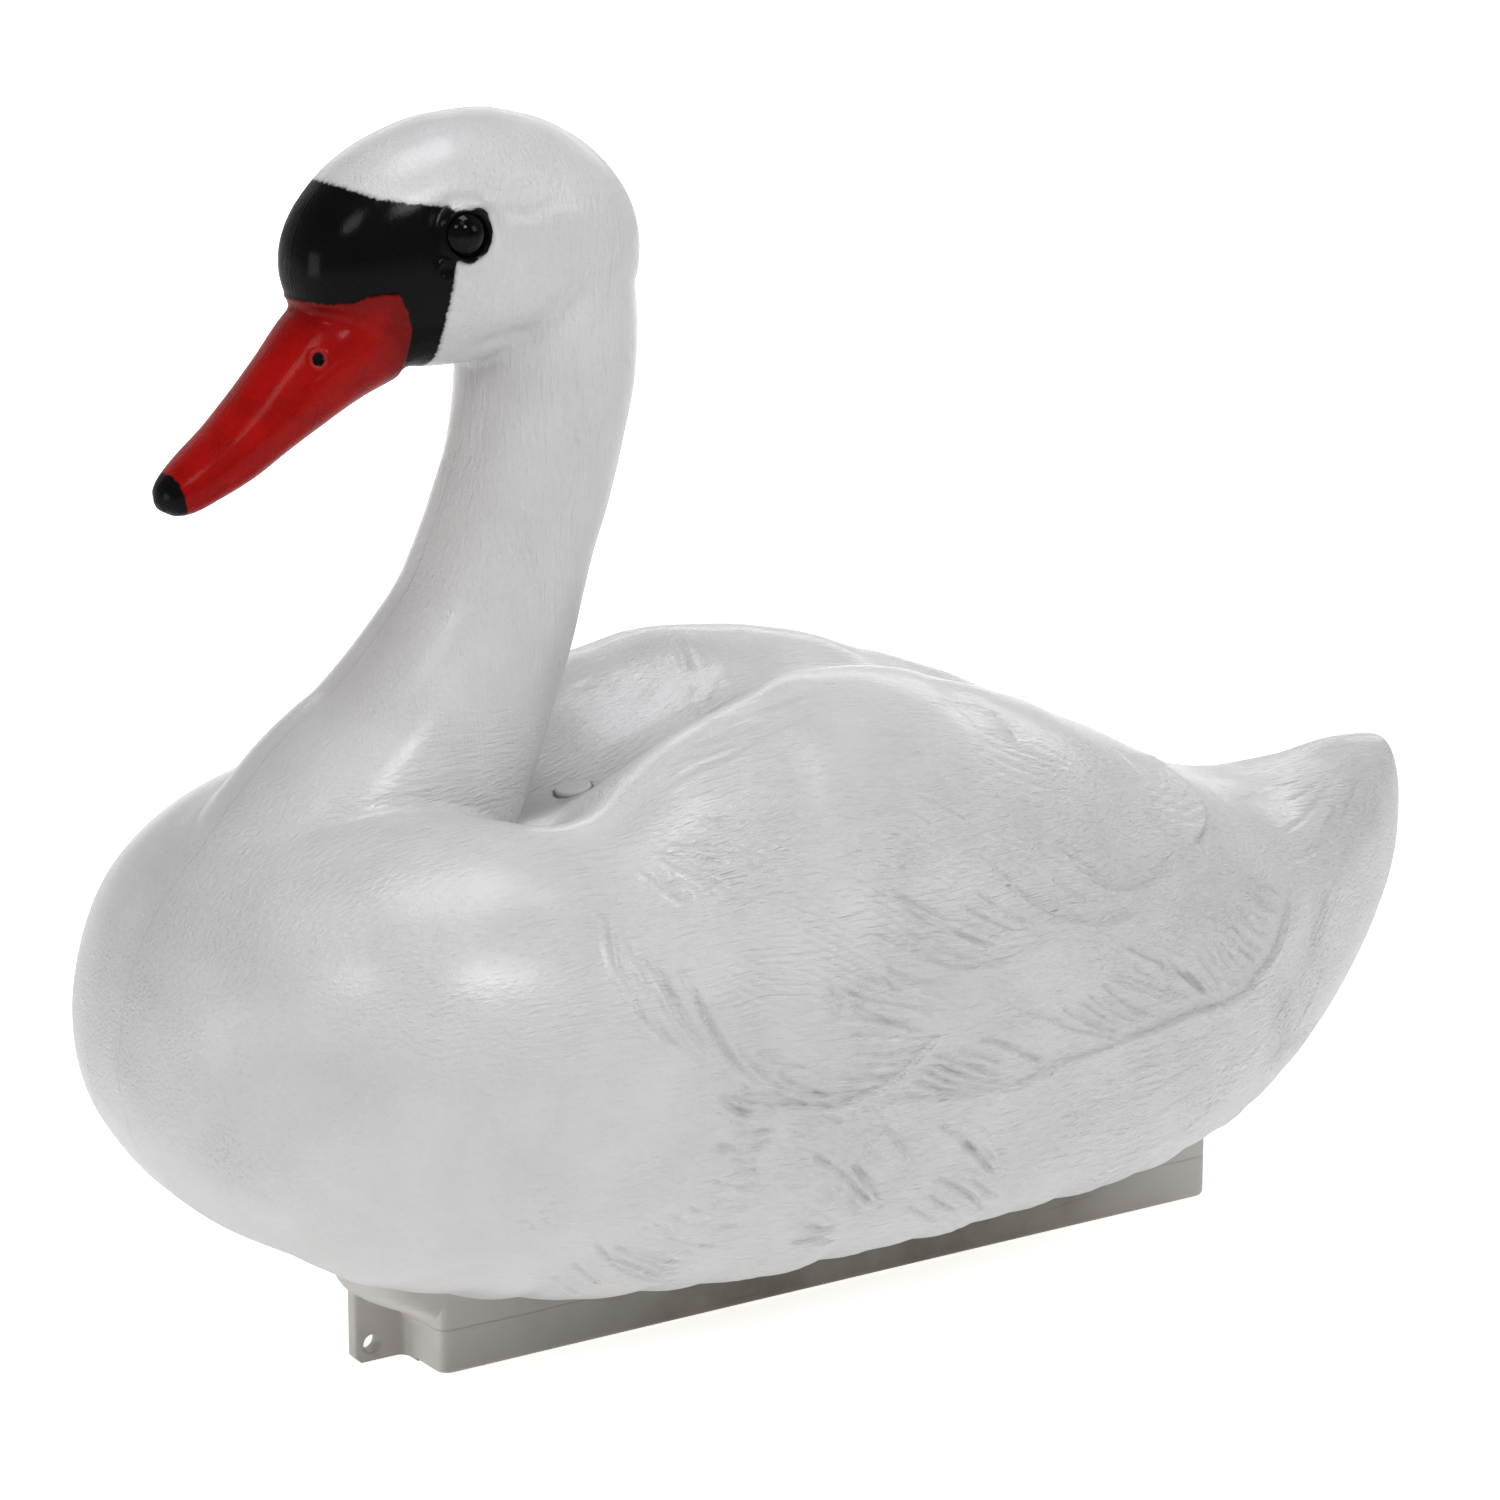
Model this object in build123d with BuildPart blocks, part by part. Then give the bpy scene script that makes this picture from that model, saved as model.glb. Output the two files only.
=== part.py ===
from build123d import *
import math
import os

# Floating swan decoy with a weighted keel.
# Frame: millimetres, +Z up, the bird faces -Y, its left side is +X.
# Origin: centre of the keel's flat bottom face, on the plane of symmetry.

# ------------------------------------------------------------------ driving dimensions
WALL = 3.0                # moulded wall of the bird
SECTION_POINTS = 30       # spline points round one hull section

KEEL_HALF = 34.0          # half width of the keel
KEEL_FRONT = -168.0       # front face of the keel box
KEEL_REAR = 228.0         # rear face of the keel box
KEEL_TOP = 42.0           # flat land of the belly that the keel sits against
KEEL_WALL = 3.0
BROW_OUT = 26.0           # how far the brow stands in front of the keel box
BROW_ROWS = [             # height, half width, distance in front of the box
    (13.5, 27.0, 0.4), (16.5, 28.2, 1.0), (19.0, 29.2, 2.2), (21.2, 30.0, 4.2),
    (23.2, 30.8, 7.4), (25.0, 31.4, 11.6), (26.8, 31.9, 16.0), (28.8, 32.4, 20.0),
    (31.2, 32.8, 23.2), (34.0, 33.1, 25.2), (37.5, 33.2, BROW_OUT), (60.0, 33.2, BROW_OUT),
]
TAB_THICK = 7.0           # cord tab in the middle plane
TAB_OUT = 23.5
TAB_TOP = 34.0
CORD_R = 4.0              # cord hole
CORD_Y = -183.5
CORD_Z = 8.0

SCREW_Y = (-130.0, -25.0, 80.0, 185.0)
SCREW_R = 2.4
SCREW_LENGTH = 50.0
SCREW_HEAD_R = 4.75
SCREW_HEAD_H = 3.4
SCREW_SEAT_Z = 7.0        # depth of the screw wells
WELL_R = 6.3
COLUMN_R = 8.6
COLUMN_HOLE_R = 2.8
BOSS_R = 7.0
BOSS_H = 24.0
PILOT_R = 2.1

PLUG_Z = 20.5             # ballast plug axis, along +Y
PLUG_R = 11.0
PLUG_GAP = 0.05
PLUG_STEM = 14.0
PLUG_HEAD_R = 15.5
PLUG_HEAD_T = 4.6
COLLAR_R = 14.8
RING_R = 12.4
RING_SECTION = 1.1

SAND_TOP = 22.0

VENT_Y = -82.0
VENT_Z = 229.0
VENT_TILT = (0.0, -0.19, 0.982)
VENT_R = 4.5
VENT_GAP = 0.04
VENT_FLANGE_R = 7.8

EYE_Y = -151.0
EYE_Z = 473.0
EYE_R = 8.5
EYE_FLOOR = 35.0          # distance of the socket's floor from the middle plane
EYE_GAP = 0.05

# Hull stations: y, half width, height of widest line, belly, ridge, depth and width of the
# valley between the wings, fullness of the lower half (smaller is fuller)
HULL = [
    (-294, 3, 146, 143, 149, 0, 30, 0.90),
    (-289, 42, 147, 119, 178, 0, 30, 0.90),
    (-275, 78, 147, 95, 208, 0, 30, 0.90),
    (-250, 110, 147, 73, 234, 0, 30, 0.90),
    (-215, 133, 146, 56, 250, 0, 32, 0.88),
    (-170, 147, 144, 45, 259, 16, 50, 0.84),
    (-122, 153, 141, 40, 264, 38, 56, 0.78),
    (-82, 155, 140, 40, 273, 44, 46, 0.72),
    (-40, 156, 138, 40, 282, 40, 38, 0.66),
    (-9, 156, 137, 40, 285, 30, 32, 0.62),
    (30, 154, 136, 40, 281, 19, 28, 0.60),
    (70, 149, 135, 40, 268, 11, 24, 0.58),
    (110, 141, 134, 40, 253, 7, 22, 0.58),
    (150, 129, 133, 40, 234, 5, 20, 0.58),
    (185, 117, 134, 40, 216, 3, 20, 0.58),
    (215, 102, 135, 41, 200, 2, 20, 0.58),
    (245, 84, 137, 46, 187, 2, 20, 0.60),
    (275, 65, 141, 57, 182, 2, 20, 0.62),
    (305, 46, 147, 76, 186, 2, 20, 0.66),
    (328, 31, 152, 98, 191, 1, 20, 0.70),
    (346, 17, 158, 123, 189, 0, 20, 0.75),
    (356, 4, 164, 150, 172, 0, 20, 0.80),
]
HULL_MID_Y = 31.0
HULL_SHRINK = 1.0 - (WALL + 1.0) / 325.0

# Neck stations along its centre line: y, z, radius in the middle plane, radius across
NECK = [
    (-205, 150, 86, 95),
    (-200, 190, 72, 74),
    (-184, 226, 57, 54),
    (-158, 256, 48, 46.5),
    (-138.5, 284, 42, 41.5),
    (-124.5, 308, 38, 38),
    (-116.5, 328, 36, 36),
    (-109.5, 347, 35, 35),
    (-102.5, 366, 35, 35),
    (-97.5, 386, 35.5, 35.5),
    (-94, 408, 36.5, 37),
    (-93, 430, 36.5, 37),
    (-95, 452, 35, 36),
]

# Head stations: y, top, underside, half width
HEAD = [
    (-209, 464, 456, 3),
    (-208, 469, 450, 10),
    (-203, 481, 440, 20),
    (-195, 491, 432, 27),
    (-182, 502, 423, 33),
    (-165, 510, 417, 37),
    (-145, 515, 415, 39.5),
    (-125, 516, 415, 39.5),
    (-100, 511, 417, 38),
    (-80, 501, 421, 34),
    (-67, 489, 428, 27),
    (-59, 474, 438, 16),
    (-57, 461, 449, 4),
]

# Bill stations along its axis: y, z, half height, half width
BILL = [
    (-168, 440, 24, 24),
    (-180, 433, 24, 24),
    (-192, 426, 22.5, 24),
    (-210, 412, 18.5, 21),
    (-224, 401, 15.5, 19.5),
    (-237, 391, 13.5, 18),
    (-250, 383, 11.5, 16),
    (-260, 377, 9.5, 13),
    (-266, 374, 6.5, 9),
    (-269, 372.5, 2, 3),
]


# ------------------------------------------------------------------ section helpers
def hull_outline(row, steps=240):
    """Closed outline of one hull station as (x, z) pairs, clockwise from its widest +X point."""
    _, w, zm, zb, zt, vd, vw, pb = row
    right = []
    for i in range(steps + 1):
        t = math.pi * i / steps
        s, c = math.sin(t), math.cos(t)
        x = w * abs(s) ** 0.92
        if c >= 0:
            z = zm + (zt - zm) * c ** 0.95 - vd * math.exp(-((x / vw) ** 2))
        else:
            z = zm - (zm - zb) * abs(c) ** pb
        right.append((x, z))
    left = [(-x, z) for x, z in reversed(right[1:-1])]
    half = steps // 2
    return right[half:] + left + right[:half]


def inset(points, distance):
    """The outline moved inwards by a distance along its normals."""
    if distance == 0:
        return points
    n = len(points)
    moved = []
    for i in range(n):
        (ax, az), (bx, bz) = points[i - 2], points[(i + 2) % n]
        dx, dz = bx - ax, bz - az
        size = math.hypot(dx, dz)
        x, z = points[i]
        moved.append((x + distance * dz / size, z - distance * dx / size))
    return moved


def resample(points, count):
    """Evenly spaced points along a closed outline, starting at its first point."""
    closed = points + [points[0]]
    lengths = [0.0]
    for (ax, az), (bx, bz) in zip(closed, closed[1:]):
        lengths.append(lengths[-1] + math.hypot(bx - ax, bz - az))
    out, j = [], 0
    for k in range(count):
        target = lengths[-1] * k / count
        while lengths[j + 1] < target:
            j += 1
        f = (target - lengths[j]) / (lengths[j + 1] - lengths[j])
        (ax, az), (bx, bz) = closed[j], closed[j + 1]
        out.append((ax + f * (bx - ax), az + f * (bz - az)))
    return out


def station_plane(rows, i):
    """Plane across a centre line given by rows of (y, z, ...), at row i."""
    a, b = rows[max(i - 1, 0)], rows[min(i + 1, len(rows) - 1)]
    dy, dz = b[0] - a[0], b[1] - a[1]
    size = math.hypot(dy, dz)
    return Plane(
        origin=(0, rows[i][0], rows[i][1]),
        x_dir=(1, 0, 0),
        z_dir=(0, dy / size, dz / size),
    )


VENT_PLANE = Plane(origin=(0, VENT_Y, VENT_Z), x_dir=(1, 0, 0), z_dir=VENT_TILT)
REAR_PLANE = Plane(origin=(0, KEEL_REAR, PLUG_Z), x_dir=(-1, 0, 0), z_dir=(0, 1, 0))


def eye_plane(side, distance):
    """Plane facing outwards from the head's side, at a distance from the middle plane."""
    return Plane(origin=(side * distance, EYE_Y, EYE_Z), x_dir=(0, side, 0), z_dir=(side, 0, 0))


# ------------------------------------------------------------------ outer form of the bird
with BuildPart() as hull_outer:
    for row in HULL:
        with BuildSketch(Plane.XZ.offset(-row[0])):
            with BuildLine():
                Spline(*resample(hull_outline(row), SECTION_POINTS), periodic=True)
            make_face()
    loft()

with BuildPart() as neck_outer:
    for i, row in enumerate(NECK):
        with BuildSketch(station_plane(NECK, i)):
            Ellipse(row[3], row[2])
    loft()

with BuildPart() as head_outer:
    for y, top, under, half in HEAD:
        with BuildSketch(Plane.XZ.offset(-y)):
            with Locations((0, (top + under) / 2)):
                Ellipse(half, (top - under) / 2)
    loft()

with BuildPart() as bill_outer:
    for i, row in enumerate(BILL):
        with BuildSketch(station_plane(BILL, i)):
            Ellipse(row[3], row[2])
    loft()

# ------------------------------------------------------------------ hollow inside the bird
with BuildPart() as hull_inner:
    for row in HULL[1:-1]:
        y = HULL_MID_Y + (row[0] - HULL_MID_Y) * HULL_SHRINK
        with BuildSketch(Plane.XZ.offset(-y)):
            with BuildLine():
                Spline(*resample(inset(hull_outline(row), WALL), SECTION_POINTS), periodic=True)
            make_face()
    loft()
    # the floor over the keel stays flat and full thickness
    with BuildSketch(Plane.XY.offset(KEEL_TOP - 12)):
        with Locations((0, (KEEL_FRONT + KEEL_REAR) / 2)):
            Rectangle(2 * KEEL_HALF + 8, KEEL_REAR - KEEL_FRONT + 24)
    extrude(amount=12 + WALL, mode=Mode.SUBTRACT)

with BuildPart() as neck_inner:
    for i, row in enumerate(NECK):
        with BuildSketch(station_plane(NECK, i)):
            Ellipse(row[3] - WALL, row[2] - WALL)
    loft()

with BuildPart() as head_inner:
    for y, top, under, half in HEAD[4:-2]:
        with BuildSketch(Plane.XZ.offset(-y)):
            with Locations((0, (top + under) / 2)):
                Ellipse(half - WALL - 0.6, (top - under) / 2 - WALL - 0.6)
    loft()

# the hollow, less the thickened pads behind the eyes and under the vent, and the blind
# bosses for the keel screws
with BuildPart() as cavity:
    add(hull_inner.part)
    add(neck_inner.part)
    add(head_inner.part)
    for side in (-1, 1):
        with BuildSketch(eye_plane(side, 26.0)):
            Circle(EYE_R + 2.6)
        extrude(amount=16.0, mode=Mode.SUBTRACT)
    with BuildSketch(VENT_PLANE.offset(-9.0)):
        Circle(VENT_FLANGE_R + 3.0)
    extrude(amount=20.0, mode=Mode.SUBTRACT)
    with BuildSketch(Plane.XY.offset(KEEL_TOP - 4)):
        with Locations(*[(0, y) for y in SCREW_Y]):
            Circle(BOSS_R)
    extrude(amount=BOSS_H + 4, mode=Mode.SUBTRACT)
    # the vent bore opens the hollow to the outside
    with BuildSketch(VENT_PLANE.offset(-14.0)):
        Circle(VENT_R)
    extrude(amount=20.0)

# ------------------------------------------------------------------ swan_shell
with BuildPart() as swan_shell:
    add(hull_outer.part)
    add(neck_outer.part)
    add(head_outer.part)
    add(bill_outer.part)
    # raised lids round the eyes
    for side in (-1, 1):
        with BuildSketch(eye_plane(side, 34.0)):
            Circle(EYE_R + 2.2)
        extrude(amount=5.4)
    # flat land for the keel
    with BuildSketch(Plane.XY.offset(KEEL_TOP - 12)):
        with Locations((0, (KEEL_FRONT + KEEL_REAR) / 2)):
            Rectangle(2 * KEEL_HALF + 1.0, KEEL_REAR - KEEL_FRONT + 1.0)
    extrude(amount=12, mode=Mode.SUBTRACT)
    # screw pilots
    with BuildSketch(Plane.XY.offset(KEEL_TOP - 1)):
        with Locations(*[(0, y) for y in SCREW_Y]):
            Circle(PILOT_R)
    extrude(amount=BOSS_H - 3, mode=Mode.SUBTRACT)
    # eye sockets with a smaller hole for the stem
    for side in (-1, 1):
        with BuildSketch(eye_plane(side, EYE_FLOOR)):
            Circle(EYE_R + EYE_GAP)
        extrude(amount=12.0, mode=Mode.SUBTRACT)
        with BuildSketch(eye_plane(side, EYE_FLOOR - 5.5)):
            Circle(2.5 + EYE_GAP)
        extrude(amount=6.0, mode=Mode.SUBTRACT)
    # spot face for the vent plug's flange
    with BuildSketch(VENT_PLANE.offset(-0.5)):
        Circle(VENT_FLANGE_R + 0.4)
    extrude(amount=12.0, mode=Mode.SUBTRACT)
    add(cavity.part, mode=Mode.SUBTRACT)

# ------------------------------------------------------------------ keel_shell
# lower skin of the bird, with a hair of clearance, trims the brow to the breast
with BuildPart() as breast_cut:
    with Locations((0, -0.25, -0.35)):
        add(hull_outer.part)
    with BuildSketch(Plane.XY.offset(KEEL_TOP - 12)):
        with Locations((0, (KEEL_FRONT + KEEL_REAR) / 2)):
            Rectangle(2 * KEEL_HALF + 1.0, KEEL_REAR - KEEL_FRONT + 1.0)
    extrude(amount=12, mode=Mode.SUBTRACT)

# brow: rounded in plan, its underside sweeping back into the front of the box
with BuildPart() as brow:
    for level, half, out in BROW_ROWS:
        with BuildSketch(Plane.XY.offset(level)):
            with BuildLine():
                EllipticalCenterArc((0, KEEL_FRONT + 5), half, out + 5, 180, arc_size=180)
                Line((half, KEEL_FRONT + 5), (-half, KEEL_FRONT + 5))
            make_face()
    loft(ruled=True)

# cord tab: flared where it grows out of the box, rounded front edges
with BuildPart() as cord_tab:
    with BuildSketch(Plane.XY.offset(0.4)) as tab_plan:
        with BuildLine():
            Polyline(
                (TAB_THICK / 2, KEEL_FRONT - TAB_OUT),
                (TAB_THICK / 2, KEEL_FRONT),
                (14, KEEL_FRONT),
                (14, KEEL_FRONT + 2),
                (-14, KEEL_FRONT + 2),
                (-14, KEEL_FRONT),
                (-TAB_THICK / 2, KEEL_FRONT),
                (-TAB_THICK / 2, KEEL_FRONT - TAB_OUT),
                close=True,
            )
        make_face()
        fillet(
            [v for v in tab_plan.vertices() if abs(abs(v.X) - TAB_THICK / 2) < 0.1 and v.Y > KEEL_FRONT - 1],
            radius=4.5,
        )
        fillet(
            [v for v in tab_plan.vertices() if v.Y < KEEL_FRONT - TAB_OUT + 0.5],
            radius=2.2,
        )
    extrude(amount=TAB_TOP - 0.4)
    with BuildSketch(Plane.YZ.offset(-10)):
        with BuildLine():
            Polyline(
                (KEEL_FRONT - TAB_OUT - 1, -1),
                (KEEL_FRONT - TAB_OUT + 4, -1),
                (KEEL_FRONT - TAB_OUT + 2.5, 0.9),
                (KEEL_FRONT - TAB_OUT - 1, 4.5),
                close=True,
            )
        make_face()
    extrude(amount=20, mode=Mode.SUBTRACT)

with BuildPart() as keel_shell:
    # box
    with BuildSketch(Plane.XY):
        with Locations((0, (KEEL_FRONT + KEEL_REAR) / 2)):
            RectangleRounded(2 * KEEL_HALF, KEEL_REAR - KEEL_FRONT, 6.0)
    extrude(amount=KEEL_TOP)
    fillet(keel_shell.faces().sort_by(Axis.Z)[0].edges(), radius=2.5)
    add(brow.part)
    add(cord_tab.part)
    # cord hole
    with BuildSketch(Plane.YZ.offset(-10)):
        with Locations((CORD_Y, CORD_Z)):
            Circle(CORD_R)
    extrude(amount=20, mode=Mode.SUBTRACT)
    add(breast_cut.part, mode=Mode.SUBTRACT)
    # hollow, leaving columns for the screws and a collar for the plug
    with BuildSketch(Plane.XY.offset(KEEL_WALL)):
        with Locations((0, (KEEL_FRONT + KEEL_REAR) / 2)):
            Rectangle(2 * (KEEL_HALF - KEEL_WALL), KEEL_REAR - KEEL_FRONT - 2 * KEEL_WALL)
        with Locations(*[(0, y) for y in SCREW_Y]):
            Circle(COLUMN_R, mode=Mode.SUBTRACT)
    extrude(amount=KEEL_TOP - 2 * KEEL_WALL, mode=Mode.SUBTRACT)
    with BuildSketch(REAR_PLANE.offset(-18.0)):
        Circle(COLLAR_R)
    extrude(amount=17.0)
    # screw wells and holes
    with BuildSketch(Plane.XY):
        with Locations(*[(0, y) for y in SCREW_Y]):
            Circle(WELL_R)
    extrude(amount=SCREW_SEAT_Z, mode=Mode.SUBTRACT)
    with BuildSketch(Plane.XY):
        with Locations(*[(0, y) for y in SCREW_Y]):
            Circle(COLUMN_HOLE_R)
    extrude(amount=KEEL_TOP, mode=Mode.SUBTRACT)
    # plug bore and the seal's seat
    with BuildSketch(REAR_PLANE.offset(-20.0)):
        Circle(PLUG_R + PLUG_GAP)
    extrude(amount=20.0, mode=Mode.SUBTRACT)
    with BuildSketch(REAR_PLANE.offset(-2.2)):
        Circle(RING_R + RING_SECTION + 0.3)
    extrude(amount=2.2, mode=Mode.SUBTRACT)

# ------------------------------------------------------------------ ballast_sand
with BuildPart() as ballast_sand:
    with BuildSketch(Plane.XY.offset(KEEL_WALL + 0.1)):
        with Locations((0, (KEEL_FRONT + KEEL_REAR) / 2)):
            Rectangle(
                2 * (KEEL_HALF - KEEL_WALL) - 0.2, KEEL_REAR - KEEL_FRONT - 2 * KEEL_WALL - 0.2
            )
        with Locations(*[(0, y) for y in SCREW_Y]):
            Circle(COLUMN_R + 0.1, mode=Mode.SUBTRACT)
    extrude(amount=SAND_TOP - KEEL_WALL - 0.1)
    with BuildSketch(REAR_PLANE.offset(-18.1)):
        Circle(COLLAR_R + 0.1)
    extrude(amount=20.0, mode=Mode.SUBTRACT)

# ------------------------------------------------------------------ keel_screws and washers
with BuildPart() as keel_screws:
    with BuildSketch(Plane.XY.offset(SCREW_SEAT_Z - 1.0)):
        with Locations(*[(0, y) for y in SCREW_Y]):
            Circle(SCREW_R)
    extrude(amount=SCREW_LENGTH)
    with BuildSketch(Plane.XY.offset(SCREW_SEAT_Z - 1.0 - SCREW_HEAD_H)):
        with Locations(*[(0, y) for y in SCREW_Y]):
            Circle(SCREW_HEAD_R)
    extrude(amount=SCREW_HEAD_H)
    fillet(
        keel_screws.edges().filter_by(GeomType.CIRCLE).group_by(Axis.Z)[0], radius=1.2
    )
    # cross recess
    with BuildSketch(Plane.XY.offset(SCREW_SEAT_Z - 1.0 - SCREW_HEAD_H)):
        with Locations(*[(0, y) for y in SCREW_Y]):
            Rectangle(5.0, 1.1)
            Rectangle(1.1, 5.0)
    extrude(amount=2.0, mode=Mode.SUBTRACT)
    chamfer(
        keel_screws.edges().filter_by(GeomType.CIRCLE).group_by(Axis.Z)[-1], length=1.0
    )

with BuildPart() as keel_washers:
    with BuildSketch(Plane.XY.offset(SCREW_SEAT_Z - 1.0)):
        with Locations(*[(0, y) for y in SCREW_Y]):
            Circle(5.9)
            Circle(SCREW_R + 0.2, mode=Mode.SUBTRACT)
    extrude(amount=1.0)

# ------------------------------------------------------------------ ballast_plug and its ring
with BuildPart() as ballast_plug:
    with BuildSketch(REAR_PLANE.offset(0.1)):
        Circle(PLUG_HEAD_R)
    extrude(amount=PLUG_HEAD_T)
    fillet(ballast_plug.faces().sort_by(Axis.Y)[-1].edges(), radius=1.4)
    with BuildSketch(REAR_PLANE.offset(0.1)):
        Circle(PLUG_R)
    extrude(amount=-PLUG_STEM)
    chamfer(ballast_plug.faces().sort_by(Axis.Y)[0].edges(), length=1.2)
    # coin slot
    with BuildSketch(REAR_PLANE.offset(PLUG_HEAD_T + 0.1)):
        Rectangle(22.0, 2.6)
    extrude(amount=-2.6, mode=Mode.SUBTRACT)

with BuildPart() as plug_oring:
    with BuildSketch(Plane.XY.offset(PLUG_Z)):
        with Locations((RING_R, KEEL_REAR - 1.05)):
            Circle(RING_SECTION)
    revolve(axis=Axis((0, KEEL_REAR, PLUG_Z), (0, 1, 0)))

# ------------------------------------------------------------------ vent_plug
with BuildPart() as vent_plug:
    with BuildSketch(VENT_PLANE.offset(-0.45)):
        Circle(VENT_FLANGE_R)
    extrude(amount=2.6)
    fillet(vent_plug.faces().sort_by(Axis(VENT_PLANE.origin, VENT_PLANE.z_dir))[-1].edges(), radius=1.3)
    with BuildSketch(VENT_PLANE.offset(-0.45)):
        Circle(VENT_R - VENT_GAP)
    extrude(amount=-8.5)
    chamfer(vent_plug.faces().sort_by(Axis(VENT_PLANE.origin, VENT_PLANE.z_dir))[0].edges(), length=0.8)

# ------------------------------------------------------------------ eyes
EYE_BASE = EYE_FLOOR + 0.1
EYE_EDGE = 2.6            # straight rim before the dome
EYE_DOME = 5.0            # height of the dome

with BuildPart() as eye_left:
    with BuildSketch(Plane.XY.offset(EYE_Z)):
        with BuildLine():
            Polyline(
                (EYE_BASE + EYE_EDGE, EYE_Y - EYE_R),
                (EYE_BASE, EYE_Y - EYE_R),
                (EYE_BASE, EYE_Y - 2.5),
                (EYE_BASE - 5.0, EYE_Y - 2.5),
                (EYE_BASE - 5.0, EYE_Y),
                (EYE_BASE + EYE_EDGE + EYE_DOME, EYE_Y),
            )
            ThreePointArc(
                (EYE_BASE + EYE_EDGE + EYE_DOME, EYE_Y),
                (EYE_BASE + EYE_EDGE + EYE_DOME * 0.70, EYE_Y - EYE_R * 0.62),
                (EYE_BASE + EYE_EDGE, EYE_Y - EYE_R),
            )
        make_face()
    revolve(axis=Axis((0, EYE_Y, EYE_Z), (1, 0, 0)))

with BuildPart() as eye_right:
    mirror(eye_left.part, about=Plane.YZ)

# ------------------------------------------------------------------ export
os.makedirs("parts", exist_ok=True)

swan_shell.part.label = "swan_shell"
export_step(swan_shell.part, "parts/swan_shell.step")
keel_shell.part.label = "keel_shell"
export_step(keel_shell.part, "parts/keel_shell.step")
ballast_sand.part.label = "ballast_sand"
export_step(ballast_sand.part, "parts/ballast_sand.step")
keel_screws.part.label = "keel_screws"
export_step(keel_screws.part, "parts/keel_screws.step")
keel_washers.part.label = "keel_washers"
export_step(keel_washers.part, "parts/keel_washers.step")
ballast_plug.part.label = "ballast_plug"
export_step(ballast_plug.part, "parts/ballast_plug.step")
plug_oring.part.label = "plug_oring"
export_step(plug_oring.part, "parts/plug_oring.step")
vent_plug.part.label = "vent_plug"
export_step(vent_plug.part, "parts/vent_plug.step")
eye_left.part.label = "eye_left"
export_step(eye_left.part, "parts/eye_left.step")
eye_right.part.label = "eye_right"
export_step(eye_right.part, "parts/eye_right.step")
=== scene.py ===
"""A hollow plastic swan on a ballasted keel.

The middle plane is x = 0, the bill points to -Y, the tail to +Y, and +X is the bird's left side.
The skin is worked out in millimetres and stored in metres; materials and stage are in metres.
"""
import math
from typing import NamedTuple

import bmesh
import bpy
import numpy as np
from mathutils import Matrix, Vector
from mathutils.bvhtree import BVHTree


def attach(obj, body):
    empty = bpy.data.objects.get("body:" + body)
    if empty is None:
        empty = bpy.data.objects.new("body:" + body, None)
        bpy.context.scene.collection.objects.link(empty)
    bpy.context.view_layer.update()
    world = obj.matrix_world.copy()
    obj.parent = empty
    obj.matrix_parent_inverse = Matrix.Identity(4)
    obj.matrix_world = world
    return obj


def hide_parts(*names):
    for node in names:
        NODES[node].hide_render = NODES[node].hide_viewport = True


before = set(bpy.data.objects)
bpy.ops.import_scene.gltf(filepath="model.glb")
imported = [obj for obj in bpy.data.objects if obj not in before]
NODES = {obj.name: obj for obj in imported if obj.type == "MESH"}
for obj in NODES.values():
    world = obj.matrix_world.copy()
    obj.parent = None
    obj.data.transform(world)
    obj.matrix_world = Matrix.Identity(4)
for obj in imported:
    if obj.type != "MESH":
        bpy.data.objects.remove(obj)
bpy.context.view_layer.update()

MM = 0.001
VOXEL = 1.8  # the feathered areas are divided once more

# ---------------------------------------------------------------- driving tables, millimetres
# y, half width, z of widest level, z bottom, z top, depth and half width of the valley
# along the back, power of the lower section curve
HULL = np.array([
    (-294, 3, 146, 143, 149, 0, 30, 0.90),
    (-289, 42, 147, 119, 178, 0, 30, 0.90),
    (-275, 78, 147, 95, 208, 0, 30, 0.90),
    (-250, 110, 147, 73, 234, 0, 30, 0.90),
    (-215, 133, 146, 56, 250, 0, 32, 0.88),
    (-170, 147, 144, 45, 259, 16, 50, 0.84),
    (-122, 153, 141, 40, 264, 38, 56, 0.78),
    (-82, 155, 140, 40, 273, 44, 46, 0.72),
    (-40, 156, 138, 40, 282, 40, 38, 0.66),
    (-9, 156, 137, 40, 285, 30, 32, 0.62),
    (30, 154, 136, 40, 281, 19, 28, 0.60),
    (70, 149, 135, 40, 268, 11, 24, 0.58),
    (110, 141, 134, 40, 253, 7, 22, 0.58),
    (150, 129, 133, 40, 234, 5, 20, 0.58),
    (185, 117, 134, 40, 216, 3, 20, 0.58),
    (215, 102, 135, 41, 200, 2, 20, 0.58),
    (245, 84, 137, 46, 187, 2, 20, 0.60),
    (275, 65, 141, 57, 182, 2, 20, 0.62),
    (305, 46, 147, 76, 186, 2, 20, 0.66),
    (328, 31, 152, 98, 191, 1, 20, 0.70),
    (346, 17, 158, 123, 189, 0, 20, 0.75),
    (356, 4, 164, 150, 172, 0, 20, 0.80),
], float)
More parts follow.
